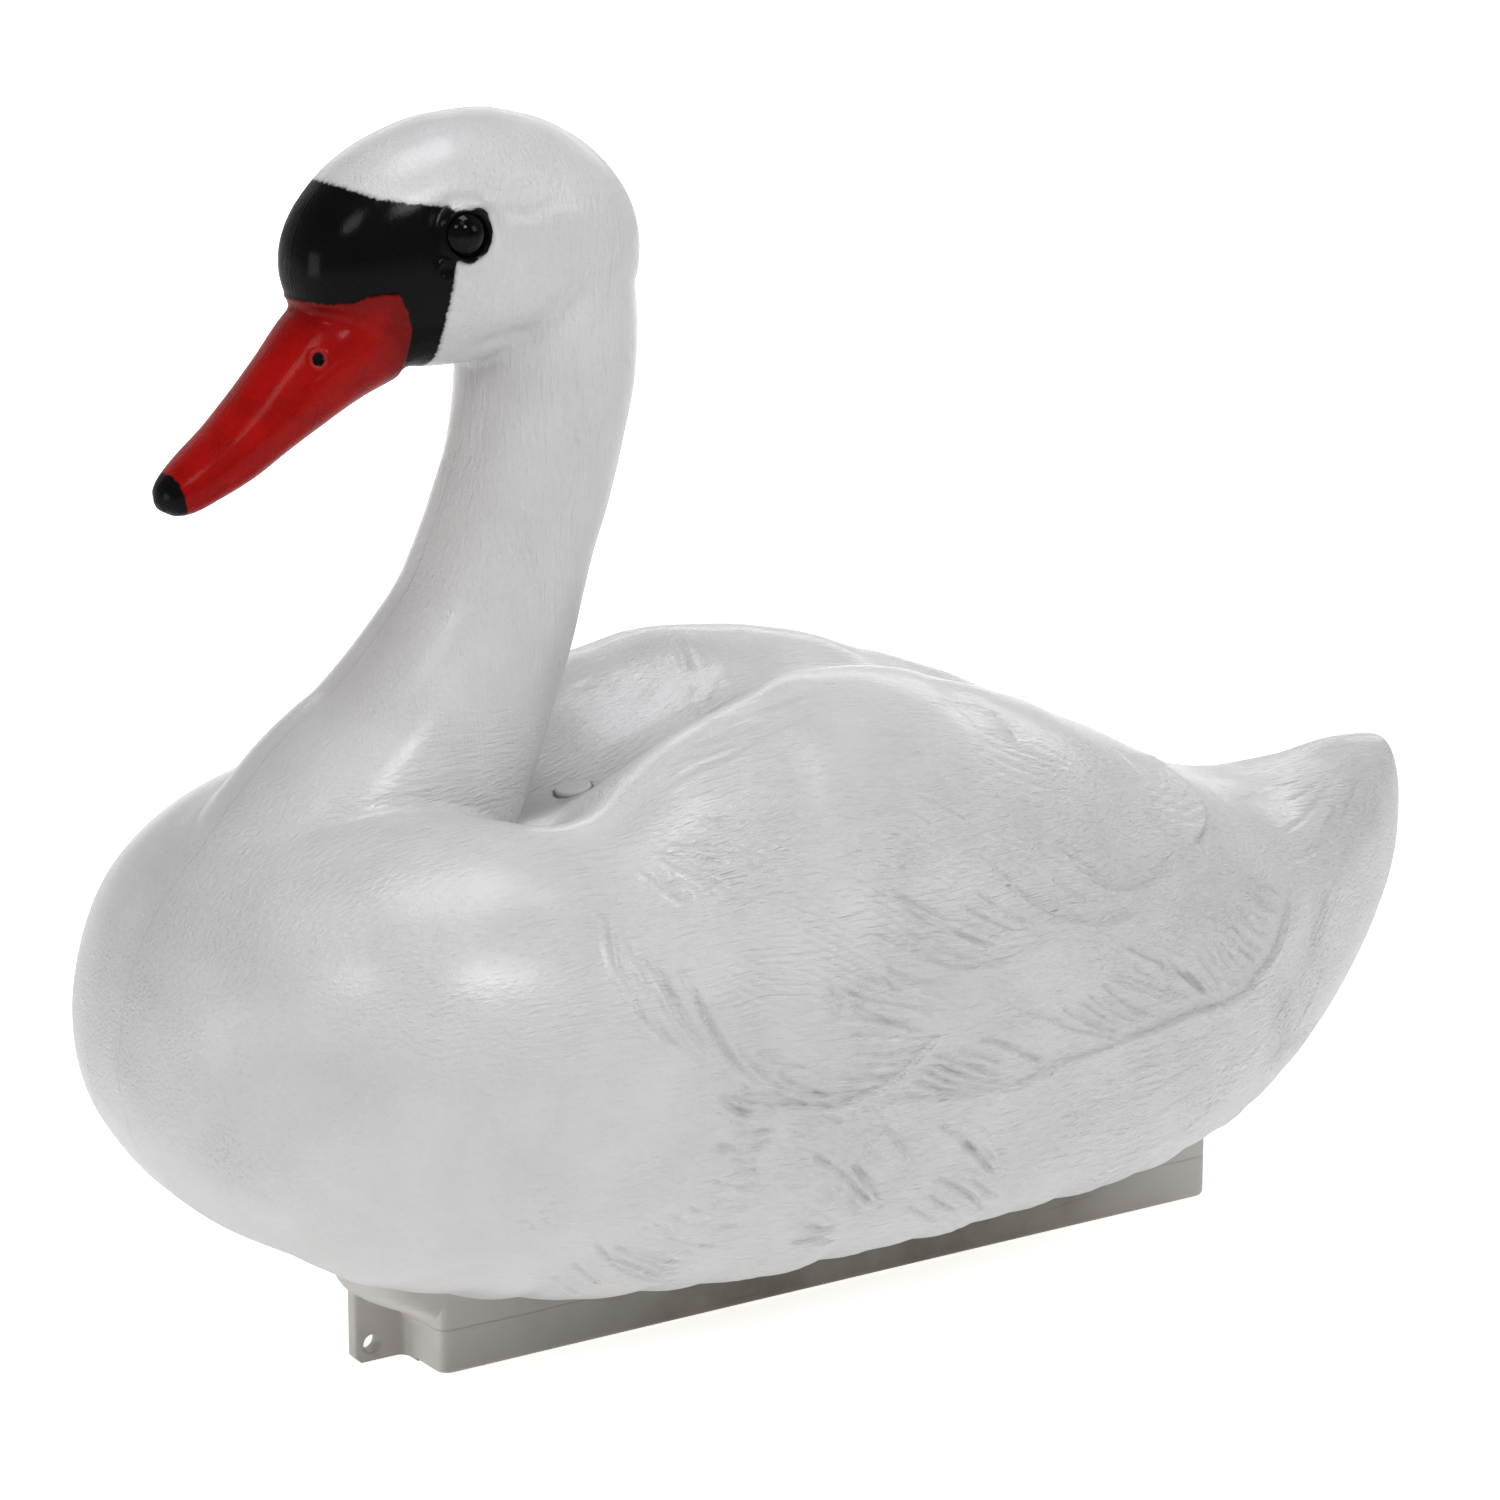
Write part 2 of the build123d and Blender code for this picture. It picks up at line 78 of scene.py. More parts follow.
# y, z, radius in the middle plane, radius across
NECK = np.array([
    (-205, 150, 86, 95), (-200, 190, 72, 74), (-184, 226, 57, 54), (-158, 256, 48, 46.5),
    (-138.5, 284, 42, 41.5), (-124.5, 308, 38, 38), (-116.5, 328, 36, 36), (-109.5, 347, 35, 35),
    (-102.5, 366, 35, 35), (-97.5, 386, 35.5, 35.5), (-94, 408, 36.5, 37), (-93, 430, 36.5, 37),
    (-95, 452, 35, 36),
], float)
BILL = np.array([
    (-168, 440, 24, 24), (-180, 433, 24, 24), (-192, 426, 22.5, 24), (-210, 412, 18.5, 21),
    (-224, 401, 15.5, 19.5), (-237, 391, 13.5, 18), (-250, 383, 11.5, 16), (-260, 377, 9.5, 13),
    (-266, 374, 6.5, 9), (-269, 372.5, 2, 3),
], float)
# y, z top, z underside, half width
HEAD = np.array([
    (-209, 464, 456, 3), (-208, 469, 450, 10), (-203, 481, 440, 20), (-195, 491, 432, 27),
    (-182, 502, 423, 33), (-165, 510, 417, 37), (-145, 515, 415, 39.5), (-125, 516, 415, 39.5),
    (-100, 511, 417, 38), (-80, 501, 421, 34), (-67, 489, 428, 27), (-59, 474, 438, 16),
    (-57, 461, 449, 4),
], float)
# y, how far the lower flank hangs
SAG = np.array([
    (-260, 0), (-215, 5.0), (-190, 5.6), (-158, 7.0), (-127, 10.0), (-96, 11.0), (-62, 13.5),
    (-19, 10.3), (28, 10.3), (59, 8.8), (90, 9.8), (137, 10.2), (170, 7.5), (205, 3.0), (240, 0),
], float)

# Places on the +X side of the face
EYE = np.array((38.0, -151.0, 473.0))
NOSTRIL = np.array((19.0, -207.4, 426.9))
DUCT = np.array((37.6, -160.1, 460.3))
FACE_Z = 395  # everything above belongs to the head or bill

VENT = np.array((0.0, -82.0, 229.0))
VENT_AXIS = np.array((0.0, -0.19, 0.982)) / math.hypot(0.19, 0.982)
# radius, low end and high end along the vent axis: spot face, then bore
VENT_CUTS = ((8.2, -0.5, 9.0), (4.5, -14.0, 6.0))
KEEL_HALF, KEEL_FRONT, KEEL_REAR, KEEL_TOP = 34.0, -168.0, 228.0, 42.0

# Paint outlines in the side view, (y, z)
BLACK = [
    (-250, 520), (-199, 494), (-193.5, 492.5), (-189, 490.6), (-181, 487.6), (-169.4, 485.7),
    (-157, 484.3), (-150, 478), (-153, 468), (-156.5, 462.8), (-157.4, 451.2), (-158.4, 441.3),
    (-157.9, 432.1), (-155.9, 421.8), (-154, 405), (-167, 405), (-168.6, 420), (-169.7, 428.5),
    (-171.5, 436.8), (-174.8, 444.7), (-178.7, 451.6), (-183, 451.8), (-189.3, 451.2),
    (-195.8, 448.3), (-203, 447.8), (-212, 447.5), (-250, 447.5),
]
RED = [
    (-290, 450), (-250, 450), (-212, 450), (-203, 450), (-195.8, 451), (-189.3, 453.6),
    (-183, 454.2), (-176.5, 454), (-172.2, 445.5), (-169, 437.2), (-167.2, 428.8),
    (-166, 420), (-165, 405), (-165, 350), (-290, 350),
]
# The bill stands a little proud inside this outline
BILL_BASE = [
    (-290, 447.8), (-212, 447.6), (-203, 447.8), (-195.8, 448.3), (-189.3, 451.2),
    (-183, 451.8), (-178.7, 451.6), (-174.8, 444.7), (-171.5, 436.8), (-169.7, 428.5),
    (-168.6, 420), (-167, 405), (-167, 350), (-290, 350),
]

# Which way the combed barbs run: (y, z, slope in degrees towards the tail)
FLOW = np.array([
    (-280, 150, -60), (-240, 220, -70), (-220, 100, -50), (-170, 230, -75), (-150, 180, -60),
    (-150, 90, -30), (-120, 200, -50), (-110, 130, -25), (-100, 80, -25), (-60, 250, -18),
    (-60, 210, -25), (-60, 160, -22), (-50, 110, -40), (0, 265, -12), (0, 225, -28),
    (0, 200, -32), (0, 160, -20), (10, 130, -24), (20, 90, -32), (60, 240, -20), (60, 200, -40),
    (60, 170, -12), (60, 140, -20), (90, 95, 0), (90, 220, -30), (110, 190, -45), (110, 150, -38),
    (120, 110, 4), (130, 80, 8), (150, 210, -25), (160, 140, -45), (170, 100, 15),
    (200, 165, -35), (210, 120, 22), (220, 180, -5), (250, 120, 30), (260, 170, 15),
    (300, 170, 28), (310, 130, 38), (345, 165, 45),
], float)
# Slopes between which the flow is shared out, by the attribute that holds the share
BARB_SLOPES = {"w_steep": -60.0, "w_fall": -30.0, "w_level": -5.0, "w_rise": 28.0}
COMB_SLOPES = (-55.0, -30.0, -5.0, 28.0)  # the modelled combing is less steep in the first


# ---------------------------------------------------------------- numeric helpers
def smooth(start, end, value):
    """Soft step from 0 at start to 1 at end."""
    t = np.clip((value - start) / (end - start), 0, 1)
    return t * t * (3 - 2 * t)


def bell(distance, width):
    return np.exp(-((distance / width) ** 2))


def hermite(x, y, slope, at):
    """Cubic through rows of y at x with the given slopes, read at the values in at."""
    i = np.clip(np.searchsorted(x, at, side="right") - 1, 0, len(x) - 2)
    span = x[i + 1] - x[i]
    t = (at - x[i]) / span
    if y.ndim == 2:
        span, t = span[:, None], t[:, None]
    return (
        (1 + 2 * t) * (1 - t) ** 2 * y[i] + t * (1 - t) ** 2 * span * slope[i]
        + t * t * (3 - 2 * t) * y[i + 1] + t * t * (t - 1) * span * slope[i + 1]
    )


def monotone(x, y, at):
    """Cubic through y at x that never overshoots."""
    span = np.diff(x)
    rate = np.diff(y) / span
    slope = np.zeros(len(x))
    for i in range(1, len(x) - 1):
        if rate[i - 1] * rate[i] > 0:
            before, after = 2 * span[i] + span[i - 1], span[i] + 2 * span[i - 1]
            slope[i] = (before + after) / (before / rate[i - 1] + after / rate[i])
    slope[0], slope[-1] = rate[0], rate[-1]
    return hermite(x, y, slope, at)


def side_distance(outline, y, z):
    """Signed distance in the side view to a closed outline, negative inside."""
    corners = np.asarray(outline, float)
    best = np.full(len(y), 1e9)
    inside = np.zeros(len(y), bool)
    for (ay, az), (by, bz) in zip(corners, np.roll(corners, -1, 0)):
        ey, ez = by - ay, bz - az
        t = np.clip(((y - ay) * ey + (z - az) * ez) / (ey * ey + ez * ez + 1e-12), 0, 1)
        best = np.minimum(best, np.hypot(y - ay - t * ey, z - az - t * ez))
        crossed = ((az > z) != (bz > z)) & (y < (by - ay) * (z - az) / (bz - az + 1e-12) + ay)
        inside ^= crossed
    return np.where(inside, -best, best)


def folded(points):
    """The points with the -X side mirrored onto the +X side."""
    out = points.copy()
    out[:, 0] = np.abs(out[:, 0])
    return out


# ---------------------------------------------------------------- mesh helpers
def link_object(name, data):
    obj = bpy.data.objects.new(name, data)
    bpy.context.scene.collection.objects.link(obj)
    return obj


def read_vertices(mesh, field):
    values = np.zeros(len(mesh.vertices) * 3, np.float32)
    mesh.vertices.foreach_get(field, values)
    return values.reshape(-1, 3).astype(float)


def get_points(mesh):
    return read_vertices(mesh, "co") * 1000


def set_points(mesh, points):
    mesh.vertices.foreach_set("co", (points * MM).astype(np.float32).ravel())
    mesh.update()


def put(mesh, name, values):
    """Store one number per vertex as an attribute."""
    layer = mesh.attributes.new(name, "FLOAT", "POINT")
    layer.data.foreach_set("value", np.asarray(values, np.float32))


def shade_smooth(mesh):
    for polygon in mesh.polygons:
        polygon.use_smooth = True


def relax(mesh, weight, rounds):
    """Weighted smoothing along the edges, inwards and outwards by turns to keep the volume."""
    edges = np.zeros(len(mesh.edges) * 2, np.int32)
    mesh.edges.foreach_get("vertices", edges)
    edges = edges.reshape(-1, 2)
    points = get_points(mesh)
    moving = weight > 0.002
    edges = edges[moving[edges].any(1)]
    start, end = edges[:, 0], edges[:, 1]
    total = len(points)
    count = np.bincount(edges.ravel(), minlength=total).astype(float)
    count[count == 0] = 1
    weight = weight[:, None]
    for k in range(rounds):
        sums = np.stack([
            np.bincount(start, points[end, axis], total)
            + np.bincount(end, points[start, axis], total)
            for axis in range(3)
        ], 1)
        step = sums / count[:, None] - points
        amount = 0.6 if k % 2 == 0 else -0.62
        points[moving] += (weight * step * amount)[moving]
    set_points(mesh, points)


# ---------------------------------------------------------------- lofts
def rings_to_mesh(name, rings):
    """A closed mesh through rings of equal length, with a fan at each end."""
    rings = np.asarray(rings, float)
    rows, count, _ = rings.shape
    verts = np.vstack([rings.reshape(-1, 3), rings[0].mean(0), rings[-1].mean(0)])
    faces = []
    for i in range(rows - 1):
        a, b = i * count, (i + 1) * count
        for j in range(count):
            j2 = (j + 1) % count
            faces.append((a + j, a + j2, b + j2, b + j))
    first_hub, last = rows * count, (rows - 1) * count
    for j in range(count):
        j2 = (j + 1) % count
        faces.append((first_hub, j2, j))
        faces.append((first_hub + 1, last + j, last + j2))
    mesh = bpy.data.meshes.new(name)
    mesh.from_pydata((verts * MM).tolist(), [], faces)
    mesh.validate()
    obj = link_object(name, mesh)
    bm = bmesh.new()
    bm.from_mesh(mesh)
    bmesh.ops.recalc_face_normals(bm, faces=bm.faces)
    bm.to_mesh(mesh)
    bm.free()
    return obj


def full_turn(count):
    return np.linspace(0, 2 * math.pi, count + 1)[:-1]


def section_ring(station, count):
    """The hull section at one station, as points evenly spaced along its outline."""
    y, half_width, mid_z, bottom_z, top_z, valley_depth, valley_width, power = station
    turn = full_turn(720)
    sine, cosine = np.sin(turn), np.cos(turn)
    x = half_width * np.sign(sine) * np.abs(sine) ** 0.92
    upper = mid_z + (top_z - mid_z) * np.abs(cosine) ** 0.95 - valley_depth * bell(x, valley_width)
    lower = mid_z - (mid_z - bottom_z) * np.abs(cosine) ** power
    z = np.where(cosine >= 0, upper, lower)
    xs, zs = np.append(x, x[0]), np.append(z, z[0])
    length = np.concatenate([[0], np.cumsum(np.hypot(np.diff(xs), np.diff(zs)))])
    at = np.linspace(0, length[-1], count + 1)[:-1]
    return np.c_[np.interp(at, length, xs), np.full(count, y), np.interp(at, length, zs)]


def hull_rings(step, count):
    ys = np.unique(np.concatenate([
        np.arange(HULL[0, 0], HULL[-1, 0], step), HULL[:, 0],
        np.linspace(-294, -280, 12),  # closer rings at the blunt breast
    ]))
    stations = np.column_stack([ys] + [monotone(HULL[:, 0], HULL[:, i], ys) for i in range(1, 8)])
    return [section_ring(station, count) for station in stations]


def tube_rings(table, step, count):
    """Rings square to a centre line in the middle plane."""
    lengths = np.hypot(np.diff(table[:, 0]), np.diff(table[:, 1]))
    stations = np.concatenate([[0], np.cumsum(lengths)])
    at = np.linspace(0, stations[-1], max(8, int(stations[-1] / step)))
    centre = table[:, :2]
    line = hermite(stations, centre, np.gradient(centre, stations, axis=0), at)
    in_plane, across = (monotone(stations, table[:, i], at) for i in (2, 3))
    heading = np.gradient(line, at, axis=0)
    heading /= np.linalg.norm(heading, axis=1)[:, None]
    turn = full_turn(count)
    return [
        np.c_[
            across[k] * np.cos(turn),
            line[k, 0] + in_plane[k] * np.sin(turn) * -heading[k, 1],
            line[k, 1] + in_plane[k] * np.sin(turn) * heading[k, 0],
        ]
        for k in range(len(at))
    ]


def head_rings(step, count):
    """Upright elliptical rings, closer together towards both ends."""
    y0, y1 = HEAD[0, 0], HEAD[-1, 0]
    spread = np.cos(np.linspace(0, math.pi, int((y1 - y0) / step)))
    ys = (y0 + y1) / 2 - (y1 - y0) / 2 * spread
    top, under, half = (monotone(HEAD[:, 0], HEAD[:, i], ys) for i in (1, 2, 3))
    turn = full_turn(count)
    return [
        np.c_[
            half[k] * np.cos(turn), np.full(count, ys[k]),
            (top[k] + under[k]) / 2 + (top[k] - under[k]) / 2 * np.sin(turn),
        ]
        for k in range(len(ys))
    ]


# ---------------------------------------------------------------- feather relief, millimetres
# "Right" is the right hand of a curve's drawn direction, seen from outside the skin.
class Groove(NamedTuple):
    """A round groove with a low lip on its right."""
    depth: float
    width: float
    fill: bool = False  # more grooves between neighbouring curves
    ends = (0.18, 0.28)

    def reach(self):
        return self.width * 4

    def heights(self, side):
        lip = bell(side - 2.1 * self.width, 1.3 * self.width)
        return -self.depth * bell(side, self.width) + 0.5 * self.depth * lip


class Step(NamedTuple):
    """An overlap: proud on the right, sunk on the left, each fading out over its reach."""
    proud: float
    proud_reach: float
    sunk: float
    sunk_reach: float
    fill = False
    ends = (0.13, 0.15)

    def reach(self):
        return max(self.proud_reach, self.sunk_reach) * 2.2

    def heights(self, side):
        edge = 0.9
        rise = smooth(-edge, edge, side)
        return (
            rise * self.proud * np.exp(-np.maximum(side, 0) / self.proud_reach)
            - (1 - rise) * self.sunk * np.exp(np.minimum(side, 0) / self.sunk_reach)
        )


# Shape and curves on the +X side, one curve to a line of "x y z" points.
# The order sets the random draws.
FEATHERS = [
    # lobe above the tail
    (Step(2.5, 14.0, 1.5, 12.0),
     "38 182 214, 46 184 211, 56 184 208, 66 187 202, 79 185 197, 91 176 194, 103 160 192"),
    # short edge high on the back
    (Step(1.2, 10.0, 0.8, 8.0), "40 72 263, 49 75 260, 60 80 255, 69 84 250, 80 84 243"),
    # fan at the front top of the wing
    (Groove(0.85, 1.1, fill=True), """
108 -108 234, 115 -93 231, 122 -80 226
110 -108 232, 118 -95 228, 126 -82 223
112 -108 231, 121 -96 225, 128 -86 219
115 -114 228, 121 -108 223, 127 -103 216
112 -118 229, 120 -113 222, 126 -106 217
107 -102 236, 112 -87 235, 116 -73 234
113 -92 233, 116 -82 232, 119 -72 231
105 -87 241, 108 -79 240, 110 -69 240
103 -84 243, 106 -76 242, 108 -68 242"""),
    # long grooves down the front of the wing
    (Groove(1.05, 1.5, fill=True), """
121 -140 218, 130 -143 207, 135 -144 200, 140 -141 192, 145 -139 180, 148 -131 172, 151 -122 163
129 -135 209, 134 -136 202, 139 -134 195, 146 -133 179, 149 -128 170, 151 -120 162
135 -133 202, 142 -127 190, 147 -123 178, 151 -116 167, 152 -108 157
135 -129 201, 144 -124 187, 149 -118 174, 152 -110 163, 153 -105 156
137 -120 200, 142 -118 191, 147 -116 179, 151 -110 166, 153 -102 155, 154 -98 148
142 -113 192, 146 -114 184, 150 -109 171, 152 -102 160, 154 -94 150, 155 -86 143"""),
    # their turn towards the tail at the lower front corner
    (Groove(0.9, 1.3), """
154 -100 150, 154 -96 145, 155 -86 142, 155 -77 140
151 -104 169, 153 -96 158, 154 -86 148, 155 -73 141, 156 -58 137, 156 -45 137
154 -85 153, 155 -77 146, 155 -68 140, 156 -54 136
153 -94 161, 154 -83 155, 154 -72 151, 154 -65 153"""),
    # lower edge of the front wing feathers
    (Step(2.2, 8.0, 0.9, 6.0), """
153 -112 147, 155 -93 139, 156 -73 135, 156 -58 132, 156 -45 134, 156 -33 136, 156 -21 142, \
155 -8 150, 154 0 153"""),
    # row edge above it
    (Step(1.6, 7.0, 0.7, 6.0),
     "144 -34 198, 148 -20 190, 150 -10 184, 151 5 177, 150 24 174, 147 45 177, 143 64 179"),
    # barbs between those two edges
    (Groove(1.35, 1.2, fill=True), """
150 -30 184, 152 -15 176, 152 4 172
150 -40 182, 152 -25 174, 153 2 167
151 -51 178, 153 -34 171, 154 -16 165, 154 -2 161
152 -49 172, 154 -32 164, 154 -13 157
153 -50 166, 154 -32 162, 155 -10 153
154 -49 160, 155 -29 156, 155 -12 152
155 -49 153, 155 -32 149, 155 -16 148
155 -53 148, 156 -36 145, 156 -20 143
155 -58 144, 156 -40 140, 156 -28 140"""),
    # single short mark in front of them
    (Groove(1.1, 1.15), "150 -56 181, 152 -53 175, 153 -50 167"),
    # barbs over the middle of the wing's lower edge
    (Groove(1.35, 1.2, fill=True), """
155 3 145, 155 13 141, 154 28 134
155 -12 147, 156 3 139, 155 28 128
156 -18 142, 156 2 131, 155 25 124
154 25 142, 153 41 134, 152 53 130
156 -14 144, 156 11 131, 154 31 125
156 -22 138, 156 -7 130, 156 11 125
154 13 147, 154 28 142, 153 41 137"""),
    # lower edge of the wing, and the short edge that meets it
    (Step(1.7, 9.0, 0.7, 7.0), """
156 -45 128, 157 -26 129, 157 -7 126, 156 11 124, 154 31 123, 153 47 124, 151 62 127, \
147 85 127, 145 94 128, 140 116 128, 132 141 129, 127 156 127, 120 177 128, 114 192 135, \
109 202 138, 101 214 148, 92 223 157, 84 226 166"""),
    (Step(1.4, 6.0, 0.6, 4.0), "153 32 153, 151 48 149, 150 62 141, 148 78 135, 145 94 128"),
    # two curved feather tips on the upper rear of the wing, and the lines in them
    (Step(1.8, 8.0, 0.8, 6.0),
     "133 32 214, 138 39 202, 141 53 192, 141 68 184, 138 90 178, 134 105 178, 131 113 180"),
    (Step(2.0, 8.0, 0.8, 6.0), """
124 74 212, 128 78 204, 131 89 193, 130 104 188, 126 118 186, 121 130 187, 114 141 190, \
108 147 193"""),
    (Groove(0.9, 1.0), """
122 81 211, 128 90 200, 128 105 191
133 63 202, 135 75 193, 135 88 186
133 36 213, 138 47 199, 140 62 189
125 76 209, 129 85 199, 130 98 192"""),
    # barbs on the rear of the wing
    (Groove(1.3, 1.2, fill=True), """
135 124 157, 133 136 145, 129 148 135
131 141 145, 129 150 136, 127 156 132
126 152 155, 125 159 145, 121 175 131
123 161 156, 122 169 146, 119 180 136
120 169 156, 118 178 146, 116 187 139
113 176 167, 113 188 153, 109 199 147
101 193 172, 99 205 165, 95 217 158
107 186 170, 106 197 160, 101 211 153
129 144 155, 128 151 146, 125 164 132"""),
    # barbs in front of those
    (Groove(1.2, 1.15, fill=True), """
145 82 156, 143 99 143, 139 118 134
147 73 154, 145 90 142, 142 108 133
149 66 149, 147 81 139, 144 96 132
144 86 158, 140 108 147, 134 132 135
141 100 160, 137 123 145, 131 143 134
140 97 168, 137 119 156, 133 135 142
150 58 152, 148 72 142, 146 87 134"""),
    # barbs on the upper middle of the wing
    (Groove(1.15, 1.15, fill=True), """
141 -16 205, 146 0 194, 148 19 184, 148 31 179
143 -6 200, 147 13 189, 148 31 181
145 -18 196, 149 1 184, 150 20 178
144 4 198, 146 21 189, 147 35 182
139 -19 210, 143 -2 200, 146 11 192
142 13 200, 145 29 191, 146 41 184
139 22 204, 143 35 194, 144 49 185"""),
    # front flank
    (Groove(1.35, 1.3, fill=True), """
153 -111 146, 154 -98 138, 155 -82 134
154 -109 141, 155 -96 135, 155 -85 132
154 -104 130, 155 -95 128, 155 -84 128
153 -114 125, 154 -100 123, 154 -91 123, 155 -82 124
153 -105 119, 153 -97 117, 153 -91 117
152 -103 114, 152 -95 113, 153 -89 113
151 -112 111, 150 -98 107, 151 -89 108
149 -115 106, 149 -99 102, 149 -86 101
147 -122 103, 146 -107 98, 147 -93 97
145 -129 101, 144 -114 95, 144 -92 92
142 -141 99, 141 -127 92, 139 -111 86, 138 -96 83
136 -150 91, 135 -136 86, 133 -119 80, 132 -105 78
136 -159 94, 129 -140 80, 119 -114 68, 116 -99 65
118 -165 77, 100 -141 60
126 -161 82, 115 -140 69"""),
    # middle flank
    (Groove(1.3, 1.3, fill=True), """
156 -62 131, 156 -48 120, 153 -29 103
156 -53 131, 156 -42 121, 155 -30 110
156 -42 131, 156 -31 119, 153 -15 102
156 -58 124, 155 -44 113, 153 -37 104
153 -64 108, 152 -48 101, 146 -29 88
151 -59 100, 147 -45 91, 145 -34 86
154 -46 108, 151 -36 98, 146 -26 87
144 -65 88, 143 -54 85, 143 -45 84
140 -67 82, 139 -54 80, 137 -41 76
154 -66 115, 154 -55 108, 152 -44 101"""),
    # rear flank
    (Groove(1.15, 1.2, fill=True), """
149 14 92, 145 25 85, 138 39 77
148 -6 89, 139 16 76
154 13 107, 151 23 99, 147 32 90
154 4 108, 151 18 99, 146 32 87
146 -15 86, 136 9 73
152 -7 97, 147 12 87, 131 40 70
156 -8 117, 154 6 109, 151 21 97"""),
    # thigh line
    (Groove(0.7, 1.5), "155 11 115, 154 21 108, 150 30 97, 144 37 84, 118 60 62"),
    # short mark behind it
    (Groove(0.6, 1.1), "149 66 109, 147 72 102"),
    # faint lines under the rear of the wing and the tail
    (Groove(0.38, 1.1), """
147 82 114, 143 100 115, 138 119 116
145 86 104, 137 120 105, 126 157 110
144 79 96, 136 116 94, 125 156 99
135 96 82, 124 141 82, 117 179 94
135 132 119, 128 153 118, 122 171 122
118 178 97, 106 205 107, 91 234 125
101 207 87, 86 238 100, 73 262 120
99 219 112, 81 250 129, 66 273 148
88 238 137, 68 268 150, 48 294 164"""),
    # edge of the tail, and the lines on top of it
    (Step(0.9, 5.0, 0.6, 4.0), "76 239 164, 63 263 163, 49 282 167, 38 298 172, 25 316 180"),
    (Groove(0.42, 1.3), """
33 296 176, 42 288 171, 56 268 166
18 304 182, 27 286 178, 38 260 178
15 315 185, 30 292 178, 44 269 174
18 288 180, 22 267 180, 43 233 186
35 285 176, 50 262 173, 64 240 174"""),
    # line along the wing's ridge, and those on its inner side
    (Groove(0.5, 1.8), "84 -98 251, 82 -79 256, 82 -54 262, 80 -42 265, 77 -26 268, 78 -8 269"),
    (Groove(0.35, 1.5), """
74 -86 258, 76 -69 261, 78 -51 264
71 -70 263, 73 -55 266, 74 -41 268
66 -52 269, 68 -35 271, 69 -16 273
65 -42 271, 67 -19 273, 67 5 273"""),
    # edge on the slope into the valley, and the marks around it
    (Groove(0.9, 2.4), "40 -7 276, 31 -10 273, 25 -11 270, 20 -14 266"),
    (Groove(0.45, 1.8), """
37 -57 265, 37 -51 267
28 -50 260, 31 -44 264, 35 -40 269
8 -15 256, 11 -7 261, 17 -2 266
6 -2 259, 12 5 264, 19 10 270
20 -37 257, 22 -30 262, 27 -25 266
8 -15 256, 10 -11 259
50 -52 271, 52 -46 272
47 -42 273, 53 -33 275, 56 -27 275"""),
    # fine lines over the top of the wing
    (Groove(0.4, 1.2), """
90 -1 261, 91 18 259, 92 36 255
98 -3 256, 99 16 254, 100 35 249
67 50 263, 64 73 257, 63 94 249
88 71 246, 89 91 238, 90 108 230
80 121 230, 84 131 223, 88 139 216
95 134 214, 99 144 205, 105 146 197
116 -8 241, 121 6 235, 126 19 226
114 6 243, 119 22 235, 126 37 223
133 -25 219, 134 -8 217, 136 5 214"""),
    # brow, upper and lower
    (Groove(0.6, 2.0), "36 -145 486, 34 -133 490, 33 -123 492, 32 -108 492"),
    (Groove(0.45, 2.2), "38 -135 480, 38 -121 479, 36 -111 482, 35 -101 483"),
    # edge between head and neck
    (Groove(1.3, 4.0), "22 -146 423, 27 -130 429, 28 -116 431, 34 -107 437, 35 -96 446, 35 -85 453"),
    # lines along the bill
    (Groove(0.45, 0.9), """
22 -172 426, 22 -191 418, 20 -212 406, 18 -234 393, 16 -252 382
27 -178 437, 23 -200 425, 19 -220 410, 16 -241 396"""),
]


def read_curves(text):
    return [
        np.array(line.replace(",", " ").split(), float).reshape(-1, 3)
        for line in text.strip().splitlines()
    ]


def dense(curve):
    """Points about every millimetre along a smooth curve through the given ones."""
    p = np.vstack([2 * curve[0] - curve[1], curve, 2 * curve[-1] - curve[-2]])
    out = []
    for i in range(1, len(p) - 2):
        count = max(2, int(np.linalg.norm(p[i + 1] - p[i])))
        t = np.linspace(0, 1, count, endpoint=False)[:, None]
        out.append(0.5 * (
            2 * p[i] + (p[i + 1] - p[i - 1]) * t
            + (2 * p[i - 1] - 5 * p[i] + 4 * p[i + 1] - p[i + 2]) * t ** 2
            + (3 * p[i] - p[i - 1] - 3 * p[i + 1] + p[i + 2]) * t ** 3
        ))
    out.append(p[-2][None])
    return np.vstack(out)


def between(curves, rng):
    """Slightly irregular curves between each neighbouring pair, about 3.4 mm apart."""
    samples = 7
    even = np.linspace(0, 1, samples)
    extra = []
    for pair in zip(curves, curves[1:]):
        first, second = (
            np.stack([np.interp(even, np.linspace(0, 1, len(c)), c[:, k]) for k in range(3)], 1)
            for c in pair
        )
        gap = np.linalg.norm(first - second, axis=1).mean()
        if gap > 16:
            continue
        count = max(1, int(round(gap / 3.4)) - 1)
        for i in range(count):
            share = (i + 1) / (count + 1)
            middle = first * (1 - share) + second * share + rng.normal(0, 0.5, 3)
            start, end = rng.integers(0, 2), samples - rng.integers(0, 3)
            extra.append(middle[start:end])
    return extra


